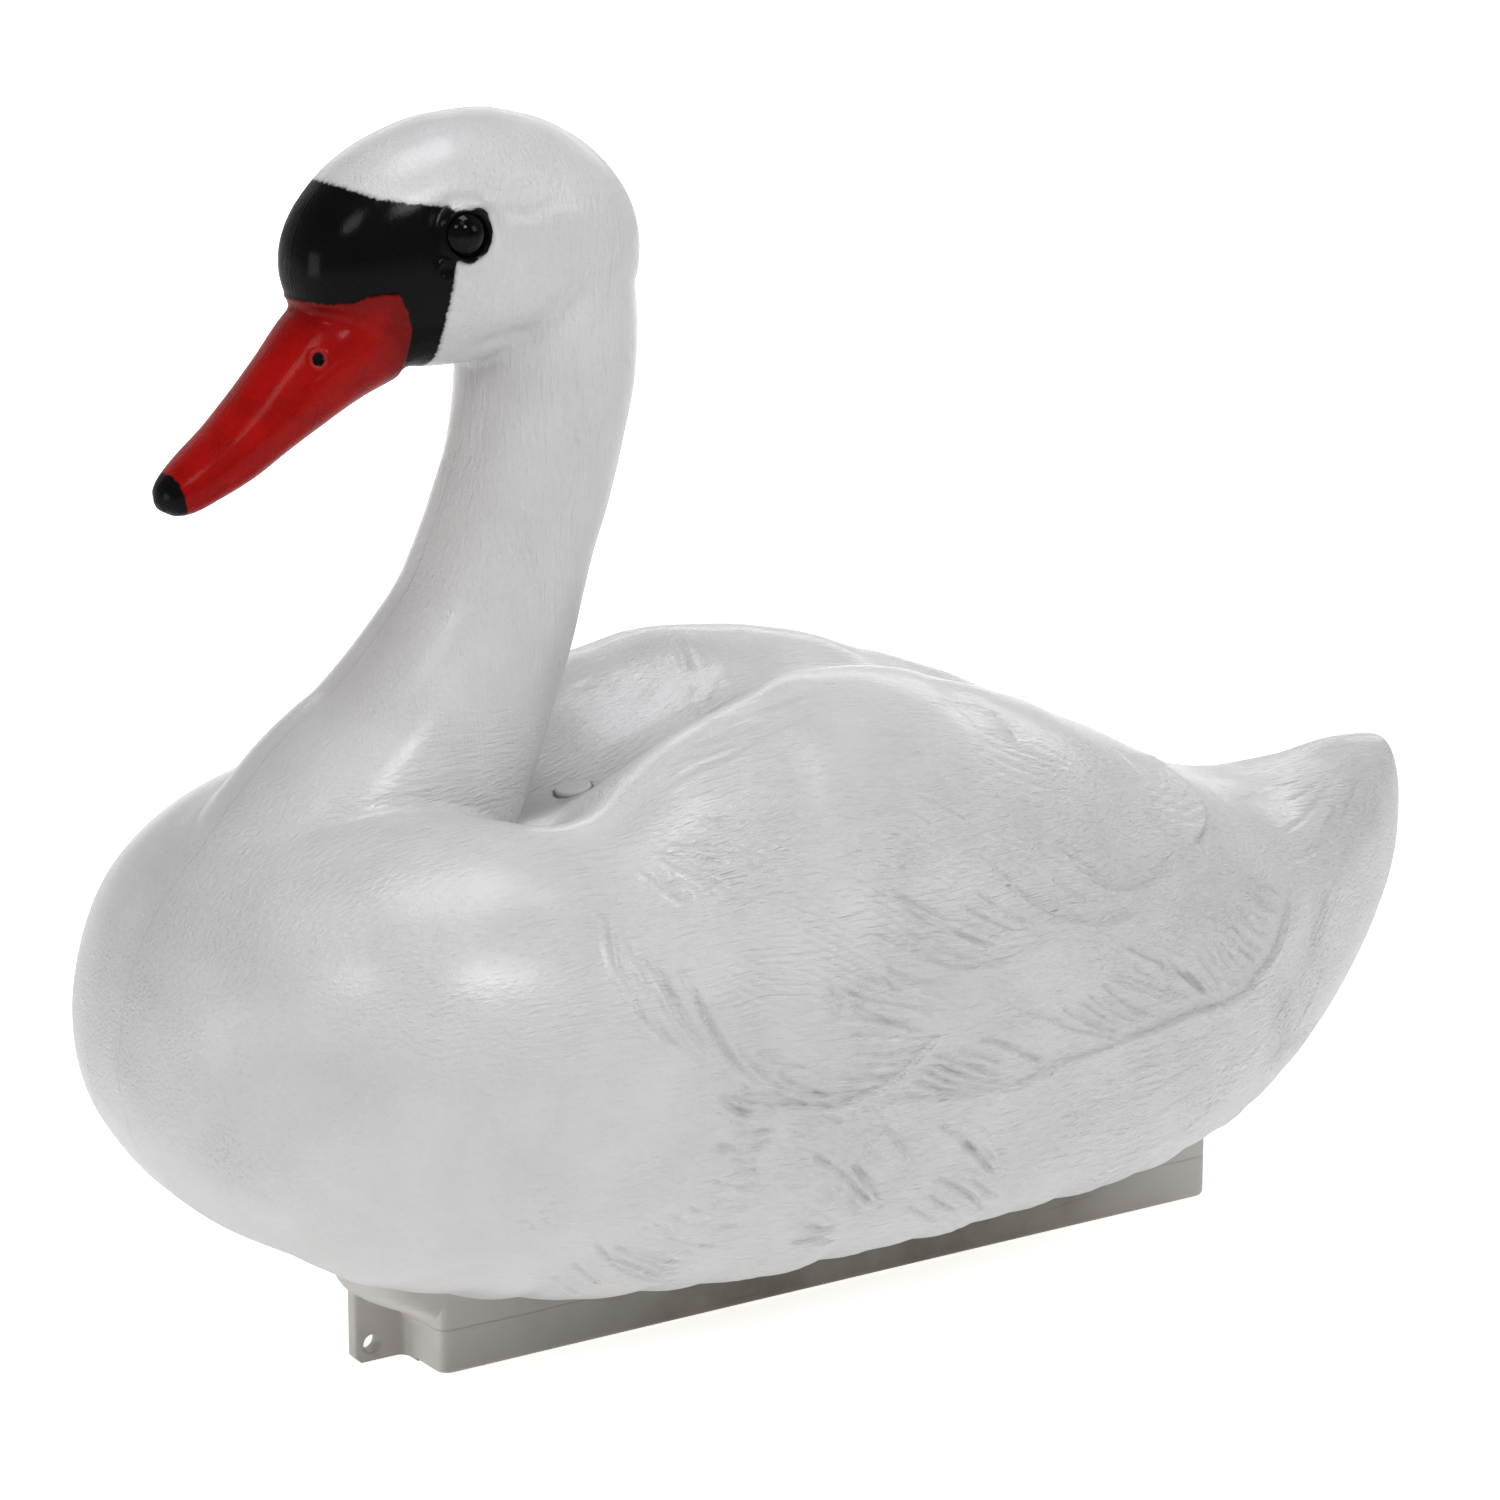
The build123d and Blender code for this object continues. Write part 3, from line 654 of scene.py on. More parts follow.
def along(points, normals, curve, reach):
    """For vertices near a curve: their index, signed side distance, share of the length."""
    low, high = curve.min(0) - reach, curve.max(0) + reach
    near = np.flatnonzero(((points > low) & (points < high)).all(1))
    best = np.full(len(near), 1e9)
    which = np.zeros(len(near), int)
    for a in range(0, len(curve), 64):
        squares = ((points[near][:, None] - curve[None, a:a + 64]) ** 2).sum(2)
        j = squares.argmin(1)
        nearest = squares[np.arange(len(near)), j]
        better = nearest < best
        best[better], which[better] = nearest[better], j[better] + a
    keep = best < reach * reach
    near, which = near[keep], which[keep]
    tangent = np.gradient(curve, axis=0)
    tangent /= np.linalg.norm(tangent, axis=1)[:, None] + 1e-9
    offset = points[near] - curve[which]
    offset -= (offset * normals[near]).sum(1)[:, None] * normals[near]
    side = (np.cross(tangent[which], normals[near]) * offset).sum(1)
    distance = np.sqrt((offset ** 2).sum(1)) * np.where(side >= 0, 1, -1)
    return near, distance, which / max(1, len(curve) - 1)


def relief(points, normals):
    """Height over the smooth form at every vertex. Both sides follow the +X side's curves."""
    points, normals = points.copy(), normals.copy()
    right = points[:, 0] < 0
    points[right, 0] *= -1
    normals[right, 0] *= -1
    height = np.zeros(len(points))
    rng = np.random.default_rng(7)
    for shape, text in FEATHERS:
        curves = read_curves(text)
        jobs = [(shape, curve) for curve in curves]
        if shape.fill:
            jobs += [
                (shape._replace(depth=shape.depth * rng.uniform(0.55, 0.95)), curve)
                for curve in between(curves, rng) if np.linalg.norm(curve[-1] - curve[0]) > 8.0
            ]
        for cut, curve in jobs:
            i, side, t = along(points, normals, dense(curve), cut.reach())
            lead_in, run_out = cut.ends
            fade = smooth(0, lead_in, t + 0.03) * smooth(0, run_out, 1 - t + 0.02)
            height[i] += cut.heights(side) * fade
    return height


# ---------------------------------------------------------------- skin of the bird
def skin_blank():
    """Hull, neck, head and bill as closed lofts, joined into one even mesh with soft joins."""
    step, count = ((3, 300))
    parts = [
        rings_to_mesh("hull", hull_rings(step, count)),
        rings_to_mesh("neck", tube_rings(NECK, step, 120)),
        rings_to_mesh("head", head_rings(2, 120)),
        rings_to_mesh("bill", tube_rings(BILL, 1.5, 80)),
    ]
    depsgraph = bpy.context.evaluated_depsgraph_get()
    trees = [BVHTree.FromObject(part, depsgraph) for part in parts]
    bpy.ops.object.select_all(action="DESELECT")
    for part in parts:
        part.select_set(True)
    bpy.context.view_layer.objects.active = parts[0]
    bpy.ops.object.join()
    skin = parts[0]
    skin.name = "swan_skin"
    mesh = skin.data
    mesh.name = "swan_skin"
    mesh.remesh_voxel_size = VOXEL * MM
    mesh.remesh_voxel_adaptivity = 0.0
    bpy.ops.object.voxel_remesh()
    mesh = skin.data

    # distance from each vertex near the joins to each part
    points = get_points(mesh)
    y, z = points[:, 1], points[:, 2]
    gaps = np.full((len(points), 4), 999.0)
    for k, tree in enumerate(trees):
        for i in np.flatnonzero((z > 150) & (y < 0)):
            gaps[i, k] = tree.find_nearest(points[i] * MM)[3] * 1000
    # the finer the voxels, the more rounds the same softness takes
    scale = 1.45 / VOXEL
    # part joined to the next one, where the softening ends, rounds, added rounds
    for part, full, none, rounds, added in (
        (0, 6, 24, 160, 4), (1, 2, 9, 36, 2), (2, 2, 10, 44, 3),
    ):
        weight = 1 - smooth(full, none, np.maximum(gaps[:, part], gaps[:, part + 1]))
        if part == 0:
            # soft in front, where the neck runs into the breast, tighter behind it
            weight *= 0.22 + 0.78 * smooth(-118, -168, y + 0.25 * (226 - z))
        relax(mesh, weight, int(rounds * scale ** 2) + added)
    relax(mesh, np.full(len(points), 0.6), 2)
    return skin


def refine(mesh):
    """One more division where the surface carries feathers, eyes or nostrils."""
    points = folded(get_points(mesh))
    x, y, z = points.T
    side = (x > 52) & (y > -165) & (y < 300) & (z > 52) & (z < 262)
    side |= (y > 225) & (z > 150)
    belly = (z < 58 + np.abs(y - 20) * 0.12) & (y > -70)
    side &= ~belly
    face = (np.abs(side_distance(RED, y, z)) < 4) & (z > FACE_Z)
    for place, radius in ((EYE, 19), (NOSTRIL, 9), (DUCT, 9)):
        face |= np.linalg.norm(points - place, axis=1) < radius
    mark = side | face
    bm = bmesh.new()
    bm.from_mesh(mesh)
    bm.verts.ensure_lookup_table()
    edges = [e for e in bm.edges if mark[e.verts[0].index] and mark[e.verts[1].index]]
    bmesh.ops.subdivide_edges(bm, edges=edges, cuts=1, use_grid_fill=True, smooth=0.0)
    bm.to_mesh(mesh)
    bm.free()
    x, y, z = folded(get_points(mesh)).T
    near = (x > 45) & (y > -170) & (y < 300) & (z < 270)
    near |= z > FACE_Z
    relax(mesh, near * 0.5, 2)


def flow_weights(points):
    """Shares of the four barb slopes at every vertex."""
    slopes = np.array(list(BARB_SLOPES.values()))
    out = np.zeros((len(points), 4))
    block = 20000  # vertices at a time, to spare memory
    for a in range(0, len(points), block):
        p = points[a:a + block]
        squares = (p[:, 1, None] - FLOW[None, :, 0]) ** 2 + (p[:, 2, None] - FLOW[None, :, 1]) ** 2
        weight = 1.0 / (squares + 120.0) ** 1.6
        angle = (weight * FLOW[None, :, 2]).sum(1) / weight.sum(1)
        share = np.maximum(0, 1 - np.abs(angle[:, None] - slopes[None]) / 27.0)
        share[angle < slopes[0], 0] = 1
        share[angle > slopes[-1], 3] = 1
        out[a:a + block] = share / (share.sum(1)[:, None] + 1e-6)
    return out


def combing(points, normals):
    """Shallow combed barbs in patches over wings and flanks, running with the feathers."""
    y, z, side = points[:, 1], points[:, 2], np.abs(points[:, 0])
    where = smooth(0.25, 0.6, np.abs(normals[:, 0])) * smooth(55, 80, side) * smooth(-125, -70, y)
    where *= smooth(50, 66, z) * (1 - smooth(238, 258, z)) * (1 - smooth(290, 320, y))
    share = flow_weights(points)
    pitch = 3.7
    out = np.zeros(len(points))
    for k, slope in enumerate(COMB_SLOPES):
        c, s = math.cos(math.radians(slope)), math.sin(math.radians(slope))
        run, rank = y * c + z * s, z * c - y * s
        bend = 1.7 * np.sin(run / 15.0 + 0.9 * k + np.sin(rank / 21.0))
        bend = bend + 1.1 * np.sin(rank / 8.0 + run / 31.0)
        wave = np.sin(rank * 2 * math.pi / pitch + bend)
        patch = np.sin(run / 10.5 + 1.6 * np.sin(rank / 13.0 + k))
        patch = patch * np.sin(rank / 17.0 + run / 29.0 + 1.3 * k)
        gate = 0.25 + 0.75 * smooth(-0.05, 0.55, patch)
        out += share[:, k] * (wave - 0.35 * wave ** 2) * gate
    return 0.33 * out * where


def unevenness(points):
    """Low swellings of the feather masses and an uneven ridge on the folded wings."""
    x, y, z = folded(points).T
    body = 1 - smooth(255, 300, z) * smooth(-40, -90, y)
    swell = (
        np.sin(y / 17.0 + x / 23.0 + 1.3) * np.sin(z / 15.0 - y / 41.0)
        + 0.6 * np.sin(y / 9.0 - z / 13.0 + 0.7) * np.sin(x / 11.0 + z / 19.0)
    )
    ridge = smooth(222, 258, z) * body * smooth(-130, -60, y)
    ripple = 0.55 * np.sin(y / 9.5 + x / 30.0) + 0.2 * np.sin(y / 5.3 + x / 24.0 + 0.9)
    return 0.28 * swell * body, ridge * ripple


def sag(points):
    """The soft lower flank hangs a little over the upper edge of the keel."""
    out = points.copy()
    x, y, z = folded(points).T
    depth = monotone(SAG[:, 0], SAG[:, 1], np.clip(y, SAG[0, 0], SAG[-1, 0]))
    depth = (
        depth + 0.45 * np.sin(y / 6.5 + x / 30.0) * smooth(0, 6, depth)
        + 0.5 * np.sin(y / 3.9 + 1.0) * smooth(0, 6, depth)
    )
    out[:, 2] -= np.maximum(depth, 0) * smooth(35.5, 58, x) * (1 - smooth(62, 128, z))
    # hollow between the root of the neck and the front of each wing
    hollow = np.exp(-(((x - 46) / 25) ** 2) - ((y + 130) / 27) ** 2)
    out[:, 2] -= 12.5 * hollow * smooth(205, 226, z) * (1 - smooth(262, 300, z))
    return out


def finish_face(points, normals):
    """Eye sockets with raised lids, the small ring under the eye, and the nostrils."""
    start = folded(points)
    x, y, z = start.T
    sign = np.where(points[:, 0] < 0, -1.0, 1.0)
    outward = normals.copy()
    outward[:, 0] *= sign
    out = start.copy()
    # raised lid, sunk orbit around it, flat socket inside it
    radius = np.hypot(y - EYE[1], z - EYE[2])
    on = (x > 22) & (z > 440) & (radius < 26)
    above = smooth(-4, 8, z - EYE[2] + 0.4 * (y - EYE[1]))
    lid = bell(radius - 9.9, 1.15) * (0.9 + 0.7 * above)
    orbit = -1.0 * bell(radius - 13.6, 2.6) * (0.5 + 0.9 * above)
    lifted = x + np.where(on, lid + orbit, 0)
    socket = np.minimum(lifted, 34.2 + 5.0 * smooth(7.5, 8.9, radius))
    out[:, 0] = np.where(on & (radius < 9.0), socket, lifted)
    # ring below and in front of the eye
    distance = np.linalg.norm(start - DUCT, axis=1)
    on = distance < 9
    ring = 0.9 * bell(distance - 3.7, 0.9) - 0.3 * bell(distance, 2.0)
    out[on] += outward[on] * ring[on][:, None]
    # nostril pit with a low rim
    distance = np.linalg.norm(start - NOSTRIL, axis=1)
    on = distance < 8
    pit = -2.6 * bell(distance, 1.9) + 0.45 * bell(distance - 3.5, 0.9)
    out[on] += outward[on] * pit[on][:, None]
    out[:, 0] *= sign
    return out


def flatten_keel_land(points):
    """Flat land that the keel sits against, with a softer margin at its sides."""
    x, y, z = np.abs(points[:, 0]), points[:, 1], points[:, 2]
    low = z < 60
    land = (x < KEEL_HALF + 0.5) & (y > KEEL_FRONT - 0.5) & (y < KEEL_REAR + 0.5) & low
    points[land, 2] = np.maximum(points[land, 2], KEEL_TOP)
    margin = (x < KEEL_HALF + 3) & low & (y > KEEL_FRONT) & (y < KEEL_REAR)
    points[margin, 2] = np.maximum(points[margin, 2], KEEL_TOP - 0.1)


def store_attributes(mesh, points, height):
    """Distances to the paint edges and shares of the barb slopes, read by the material."""
    x, y, z = folded(points).T
    turn = np.arctan2(z - EYE[2], y - EYE[1])
    # black around the eye, drawn out to a point up and back
    outline = 10.5 + 2.6 * bell(turn - 0.75, 0.30)
    outline = outline + 0.35 * np.sin(3 * turn + 0.6) + 0.2 * np.sin(7 * turn)
    eye = np.where(x > 22, np.hypot(y - EYE[1], z - EYE[2]) - outline, 99)
    put(mesh, "d_black", np.minimum(side_distance(BLACK, y, z), eye))
    put(mesh, "d_red", side_distance(RED, y, z))
    stretch = (1, 1.02, 0.82)
    put(mesh, "d_nostril", np.linalg.norm((folded(points) - NOSTRIL) * stretch, axis=1))
    put(mesh, "d_nail", y + 0.30 * (z - 380) + 0.05 * x + 263.0)
    put(mesh, "w_neck", smooth(235, 330, z))
    for name, share in zip(BARB_SLOPES, flow_weights(points).T):
        put(mesh, name, share)
    put(mesh, "relief", height)


def cut_vent(skin):
    """Bore and spot face for the vent plug."""
    turn = Vector((0, 0, 1)).rotation_difference(Vector(VENT_AXIS)).to_matrix().to_4x4()
    for radius, low, high in VENT_CUTS:
        bm = bmesh.new()
        bmesh.ops.create_cone(
            bm, cap_ends=True, segments=64, radius1=radius * MM, radius2=radius * MM,
            depth=(high - low) * MM,
        )
        mesh = bpy.data.meshes.new("bore")
        bm.to_mesh(mesh)
        bm.free()
        cutter = link_object("bore", mesh)
        middle = VENT + VENT_AXIS * (low + high) / 2
        cutter.matrix_world = Matrix.Translation(Vector(middle * MM)) @ turn
        modifier = skin.modifiers.new("bore", "BOOLEAN")
        modifier.operation, modifier.object, modifier.solver = "DIFFERENCE", cutter, "EXACT"
        bpy.context.view_layer.objects.active = skin
        bpy.ops.object.modifier_apply(modifier=modifier.name)
        bpy.data.objects.remove(cutter)


def build_skin():
    skin = skin_blank()
    mesh = skin.data
    refine(mesh)
    points, normals = get_points(mesh), read_vertices(mesh, "normal")
    height = relief(points, normals)
    for bumps in unevenness(points):
        height += bumps
    height += combing(points, normals)
    lip = side_distance(BILL_BASE, points[:, 1], points[:, 2])
    proud = 0.95 * smooth(0.9, -0.9, lip) * np.exp(np.minimum(lip, 0) / 5.0)
    height += np.where(points[:, 2] > FACE_Z, proud, 0)
    points = sag(points + normals * height[:, None])
    points = finish_face(points, normals)
    flatten_keel_land(points)
    set_points(mesh, points)
    store_attributes(mesh, points, height)
    shade_smooth(mesh)
    cut_vent(skin)
    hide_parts("swan_shell")
    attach(skin, "root")
    return skin


# ---------------------------------------------------------------- materials
class Nodes:
    """A node material; its methods add nodes and return their output sockets."""

    def __init__(self, name):
        self.material = bpy.data.materials.new(name)
        self.material.use_nodes = True
        self.tree = self.material.node_tree
        self.tree.nodes.clear()
        output = self.add("ShaderNodeOutputMaterial")
        self.bsdf = self.add("ShaderNodeBsdfPrincipled")
        self.feed(output, "Surface", self.bsdf.outputs["BSDF"])

    def add(self, kind, **settings):
        """A node; settings are properties or inputs, with _ for a space in an input's name."""
        node = self.tree.nodes.new(kind)
        for key, value in settings.items():
            if key in node.bl_rna.properties:
                setattr(node, key, value)
            else:
                self.feed(node, key.replace("_", " "), value)
        return node

    def feed(self, node, key, value):
        socket = node.inputs[key]
        if isinstance(value, bpy.types.NodeSocket):
            self.tree.links.new(value, socket)
        elif socket.type == "RGBA":
            socket.default_value = (*value, 1)
        else:
            socket.default_value = value

    def attr(self, name):
        return self.add("ShaderNodeAttribute", attribute_name=name).outputs["Fac"]

    def math(self, operation, *values):
        node = self.add("ShaderNodeMath", operation=operation)
        for i, value in enumerate((*values, 0.0, 0.0)[:3]):
            self.feed(node, i, value)
        return node.outputs["Value"]

    def times(self, a, b):
        return self.math("MULTIPLY", a, b)

    def plus(self, a, b):
        return self.math("ADD", a, b)

    def ramp(self, value, span=(0.3, 0.7), out=(0.0, 1.0)):
        """Smooth step over span; the default span fits the middle range of a noise."""
        return self.add(
            "ShaderNodeMapRange", interpolation_type="SMOOTHSTEP", Value=value,
            From_Min=span[0], From_Max=span[1], To_Min=out[0], To_Max=out[1],
        ).outputs["Result"]

    def fall(self, value, span):
        return self.ramp(value, span, out=(1.0, 0.0))

    def ragged(self, distance, noise, amount):
        """A distance shifted either way by a noise."""
        return self.plus(distance, self.times(self.math("SUBTRACT", noise, 0.5), amount))

    def colour(self, amount, under, over):
        node = self.add("ShaderNodeMix", data_type="RGBA", blend_type="MIX")
        for key, value in ((0, amount), (6, under), (7, over)):
            self.feed(node, key, value)
        return node.outputs[2]

    def mix(self, amount, off, on):
        node = self.add("ShaderNodeMix", data_type="FLOAT")
        for key, value in ((0, amount), (2, off), (3, on)):
            self.feed(node, key, value)
        return node.outputs[0]

    def coords(self, scale=(1, 1, 1), turn=(0, 0, 0), warp=None):
        """Object coordinates; warp is (amount, noise scale)."""
        vector = self.add("ShaderNodeTexCoord").outputs["Object"]
        if warp:
            amount, size = warp
            noise = self.add("ShaderNodeTexNoise", Scale=size, Detail=2.0, Vector=vector)
            shift = self.add("ShaderNodeVectorMath", operation="MULTIPLY_ADD")
            for i, value in enumerate((noise.outputs["Color"], (amount,) * 3, vector)):
                self.feed(shift, i, value)
            vector = shift.outputs["Vector"]
        node = self.add("ShaderNodeMapping", Vector=vector, Scale=scale, Rotation=turn)
        return node.outputs["Vector"]

    def axes(self, vector):
        return self.add("ShaderNodeSeparateXYZ", Vector=vector).outputs

    def noise(self, scale, detail=3.0, rough=0.5, turn=(0, 0, 0), warp=None):
        """Noise; three scales instead of one stretch it into streaks."""
        stretched = isinstance(scale, tuple)
        vector = self.coords(scale if stretched else (1, 1, 1), turn, warp)
        return self.add(
            "ShaderNodeTexNoise", Scale=1.0 if stretched else scale, Detail=detail,
            Roughness=rough, Vector=vector,
        ).outputs["Fac"]

    def scratches(self, span):
        line = self.noise(
            (900, 14, 900), detail=2.0, rough=0.7, turn=(0.06, 0.1, 0.12), warp=(0.01, 20))
        return self.ramp(line, span)

    def bump(self, height, distance, strength=1.0, **normal):
        return self.add(
            "ShaderNodeBump", Strength=strength, Distance=distance, Height=height, **normal,
        ).outputs["Normal"]

    def finish(self, **inputs):
        for key, value in inputs.items():
            self.feed(self.bsdf, key.replace("_", " "), value)
        return self.material


def shell_material():
    """White plastic with combed barbs; black and red paint on face and bill."""
    mat = Nodes("shell_white")
    # barbs: short strokes that run with the feathers on the body and down the neck
    body = None
    for name, slope in BARB_SLOPES.items():
        streak = mat.noise(
            (620, 62, 620), detail=2.5, rough=0.6, turn=(math.radians(-slope), 0, 0),
            warp=(0.012, 16))
        part = mat.times(streak, mat.attr(name))
        body = part if body is None else mat.plus(body, part)
    neck = mat.noise((620, 620, 60), rough=0.6, turn=(0.20, 0, 0), warp=(0.012, 14))
    on_neck = mat.attr("w_neck")
    barbs = mat.mix(on_neck, body, neck)
    fine = mat.noise(1500, detail=2.0, rough=0.6)
    slow = mat.noise(26)
    blotch = mat.noise(70, detail=4.0, rough=0.6)

    # where the paint lies; distances are in millimetres
    spike = mat.noise((700, 260, 320), rough=0.6)
    to_black = mat.ragged(mat.attr("d_black"), spike, amount=2.6)
    black = mat.fall(to_black, span=(-0.5, 0.5))
    haze = mat.fall(to_black, span=(-0.6, 2.6))
    to_red = mat.ragged(mat.attr("d_red"), spike, amount=0.8)
    red = mat.fall(to_red, span=(-0.25, 0.25))
    to_nail = mat.ragged(mat.attr("d_nail"), mat.noise(210, detail=2.0), amount=3.5)
    nail = mat.times(red, mat.fall(to_nail, span=(-0.4, 0.4)))
    nostril = mat.fall(mat.attr("d_nostril"), span=(2.2, 2.6))
    dark = mat.math("MAXIMUM", black, mat.math("MAXIMUM", nail, nostril))
    paint = mat.math("MAXIMUM", dark, red)

    # white plastic: faint warm and cool patches, painted shade darkening the grooves
    white = mat.colour(mat.ramp(slow), (0.62, 0.62, 0.622), (0.675, 0.675, 0.685))
    groove_shade = mat.ramp(mat.attr("relief"), span=(-1.8, -0.2), out=(0.22, 0.0))
    white = mat.colour(groove_shade, white, (0.50, 0.485, 0.46))
    # painted shade in the low parts of the barbs
    barb_shade = mat.times(mat.ramp(barbs, span=(0.62, 0.35)), 0.08)
    white = mat.colour(barb_shade, white, (0.58, 0.57, 0.56))
    overspray = mat.times(mat.math("POWER", haze, 1.6), 0.75)
    white = mat.colour(overspray, white, (0.20, 0.165, 0.14))
    # red paint: darker towards the black; a painted highlight makes the rim of the nostril paler
    red_paint = mat.colour(mat.ramp(blotch), (0.27, 0.0018, 0.0012), (0.36, 0.0028, 0.0018))
    by_black = mat.ramp(mat.attr("d_black"), span=(1.0, 13.0), out=(0.62, 0.0))
    red_paint = mat.colour(by_black, red_paint, (0.11, 0.0025, 0.0025))
    rim_highlight = mat.times(
        mat.ramp(mat.attr("d_nostril"), span=(2.4, 2.8)),
        mat.fall(mat.attr("d_nostril"), span=(3.2, 4.2)))
    red_paint = mat.colour(mat.times(rim_highlight, 0.16), red_paint, (0.50, 0.10, 0.08))
    colour = mat.colour(red, white, red_paint)
    colour = mat.colour(dark, colour, (0.003, 0.003, 0.0035))
    rough = mat.mix(
        paint, mat.ramp(mat.mix(0.5, barbs, slow), out=(0.26, 0.42)),
        mat.ramp(blotch, out=(0.26, 0.38)))

    # barbs, grain and the mould parting line in the middle plane
    place = mat.axes(mat.coords())
    seam = mat.fall(mat.math("ABSOLUTE", place["X"]), span=(0.00015, 0.0006))
    behind_breast = mat.ramp(place["Y"], span=(-0.17, -0.07), out=(0.5, 1.0))
    barb_height = mat.mix(paint, off=mat.mix(on_neck, behind_breast, on=0.5), on=0.15)
    height = mat.plus(mat.times(barbs, barb_height), mat.times(fine, 0.14))
    height = mat.plus(height, mat.times(seam, 0.15))
    normal = mat.bump(height, distance=0.0028, strength=0.9)
    normal = mat.bump(slow, distance=0.004, strength=0.10, Normal=normal)
    return mat.finish(
        Base_Color=colour, Roughness=rough, Normal=normal, IOR=1.5,
        Specular_IOR_Level=mat.mix(dark, off=mat.mix(red, off=0.5, on=0.05), on=0.02),
        Coat_Weight=mat.mix(paint, off=0.48, on=0.12),
        Coat_Roughness=mat.mix(paint, off=0.20, on=0.12),
        Coat_Normal=mat.bump(height, distance=0.0006, strength=0.42),
        Subsurface_Radius=(0.006, 0.006, 0.0055), Subsurface_Scale=0.5,
    )


def plastic_material(name, low, high, rough, scale, bump=0.0002, scratched=True):
    """Mottled plastic or rubber between two colours."""
    mat = Nodes(name)
    slow = mat.noise(scale, detail=4.0, rough=0.55)
    fine = mat.noise(scale * 22, detail=2.0, rough=0.6)
    colour = mat.colour(mat.ramp(slow), low, high)
    height = mat.plus(mat.times(slow, 0.3), mat.times(fine, 0.25))
    if scratched:
        mark = mat.scratches(span=(0.66, 0.72))
        colour = mat.colour(mat.times(mark, 0.22), colour, tuple(0.7 * v for v in low))
        height = mat.math("SUBTRACT", height, mat.times(mark, 0.35))
    return mat.finish(
        Base_Color=colour, Roughness=mat.ramp(slow, out=rough),
        Normal=mat.bump(height, distance=bump, strength=0.8), Specular_IOR_Level=0.4,
    )


def keel_material():
    """Natural, slightly see-through moulding, with painted shade darkening its side walls."""
    mat = Nodes("keel_plastic")
    slow = mat.noise(45, detail=4.0, rough=0.55)
    fine = mat.noise(1200, detail=2.0, rough=0.6)
    place = mat.axes(mat.coords())
    colour = mat.colour(mat.ramp(slow), (0.66, 0.64, 0.615), (0.72, 0.70, 0.675))
    # painted shade: the side walls darker, most along the middle, fading towards both ends
    facing = mat.axes(mat.add("ShaderNodeNewGeometry").outputs["Normal"])
    wall = mat.ramp(mat.math("ABSOLUTE", facing["X"]), span=(0.45, 0.95))
    side_shade = mat.times(
        mat.ramp(place["Y"], span=(-0.172, -0.02), out=(0.45, 1.0)),
        mat.ramp(place["Y"], span=(0.12, 0.232), out=(1.0, 0.30)))
    side_shade = mat.times(side_shade, wall)
    side_shade = mat.times(side_shade, mat.ramp(slow, span=(0.2, 0.8), out=(0.75, 1.0)))
    colour = mat.colour(side_shade, colour, (0.22, 0.198, 0.168))
    # parting line round the box, a few fine scratches
    level = mat.ragged(place["Z"], slow, amount=0.0012)
    parting_z = 0.0195
    parting = mat.math("ABSOLUTE", mat.math("SUBTRACT", level, parting_z))
    parting = mat.fall(parting, span=(0.0001, 0.0006))
    parting = mat.times(parting, mat.ramp(place["Y"], span=(-0.173, -0.166)))
    mark = mat.scratches(span=(0.68, 0.74))
    colour = mat.colour(mat.times(mark, 0.18), colour, (0.27, 0.25, 0.22))
    colour = mat.colour(mat.times(parting, 0.30), colour, (0.24, 0.22, 0.20))
    height = mat.plus(mat.times(slow, 0.3), mat.times(fine, 0.2))
    height = mat.math("SUBTRACT", height, mat.times(mat.plus(mark, parting), 0.45))
    soft_edges = mat.add("ShaderNodeBevel", samples=6, Radius=0.0024).outputs["Normal"]
    return mat.finish(
        Base_Color=colour, Roughness=mat.ramp(slow, out=(0.42, 0.54)),
        Normal=mat.bump(height, distance=0.0005, strength=0.8, Normal=soft_edges),
        Specular_IOR_Level=0.35,
    )


def steel_material():
    mat = Nodes("screw_steel")
    grain = mat.noise((300, 300, 2600), rough=0.6)
    tarnish = mat.ramp(mat.noise(420, detail=4.0, rough=0.65), span=(0.56, 0.72))
    height = mat.plus(grain, mat.times(tarnish, 0.5))
    return mat.finish(
        Base_Color=mat.colour(tarnish, (0.62, 0.62, 0.60), (0.33, 0.27, 0.21)),
        Metallic=mat.mix(tarnish, off=1.0, on=0.55),
        Roughness=mat.ramp(grain, out=(0.22, 0.42)),
        Normal=mat.bump(height, distance=0.00015, strength=0.8),
    )


def sand_material():
    mat = Nodes("ballast_sand")
    grains = mat.add("ShaderNodeTexVoronoi", Scale=900.0, Vector=mat.coords())
    tone = mat.ramp(mat.noise(700, detail=4.0, rough=0.7), span=(0.35, 0.65))
    return mat.finish(
        Base_Color=mat.colour(tone, (0.30, 0.22, 0.13), (0.62, 0.52, 0.36)), Roughness=0.9,
        Normal=mat.bump(grains.outputs["Distance"], distance=0.0012),
    )


def eye_material():
    mat = Nodes("eye_black")
    mottle = mat.noise(240, detail=4.0, rough=0.6)
    tone = mat.ramp(mottle, span=(0.35, 0.7))
    return mat.finish(
        Base_Color=mat.colour(tone, (0.002, 0.002, 0.0025), (0.008, 0.006, 0.005)),
        Roughness=mat.ramp(mottle, out=(0.05, 0.12)), Specular_IOR_Level=0.05,
        Coat_Weight=0.12, Coat_Roughness=0.03,
        Normal=mat.bump(mat.noise(900, detail=2.0), distance=0.00005, strength=0.5),
    )


def give(obj, material):
    if not obj.material_slots:
        obj.data.materials.append(material)
    for slot in obj.material_slots:
        slot.material = material


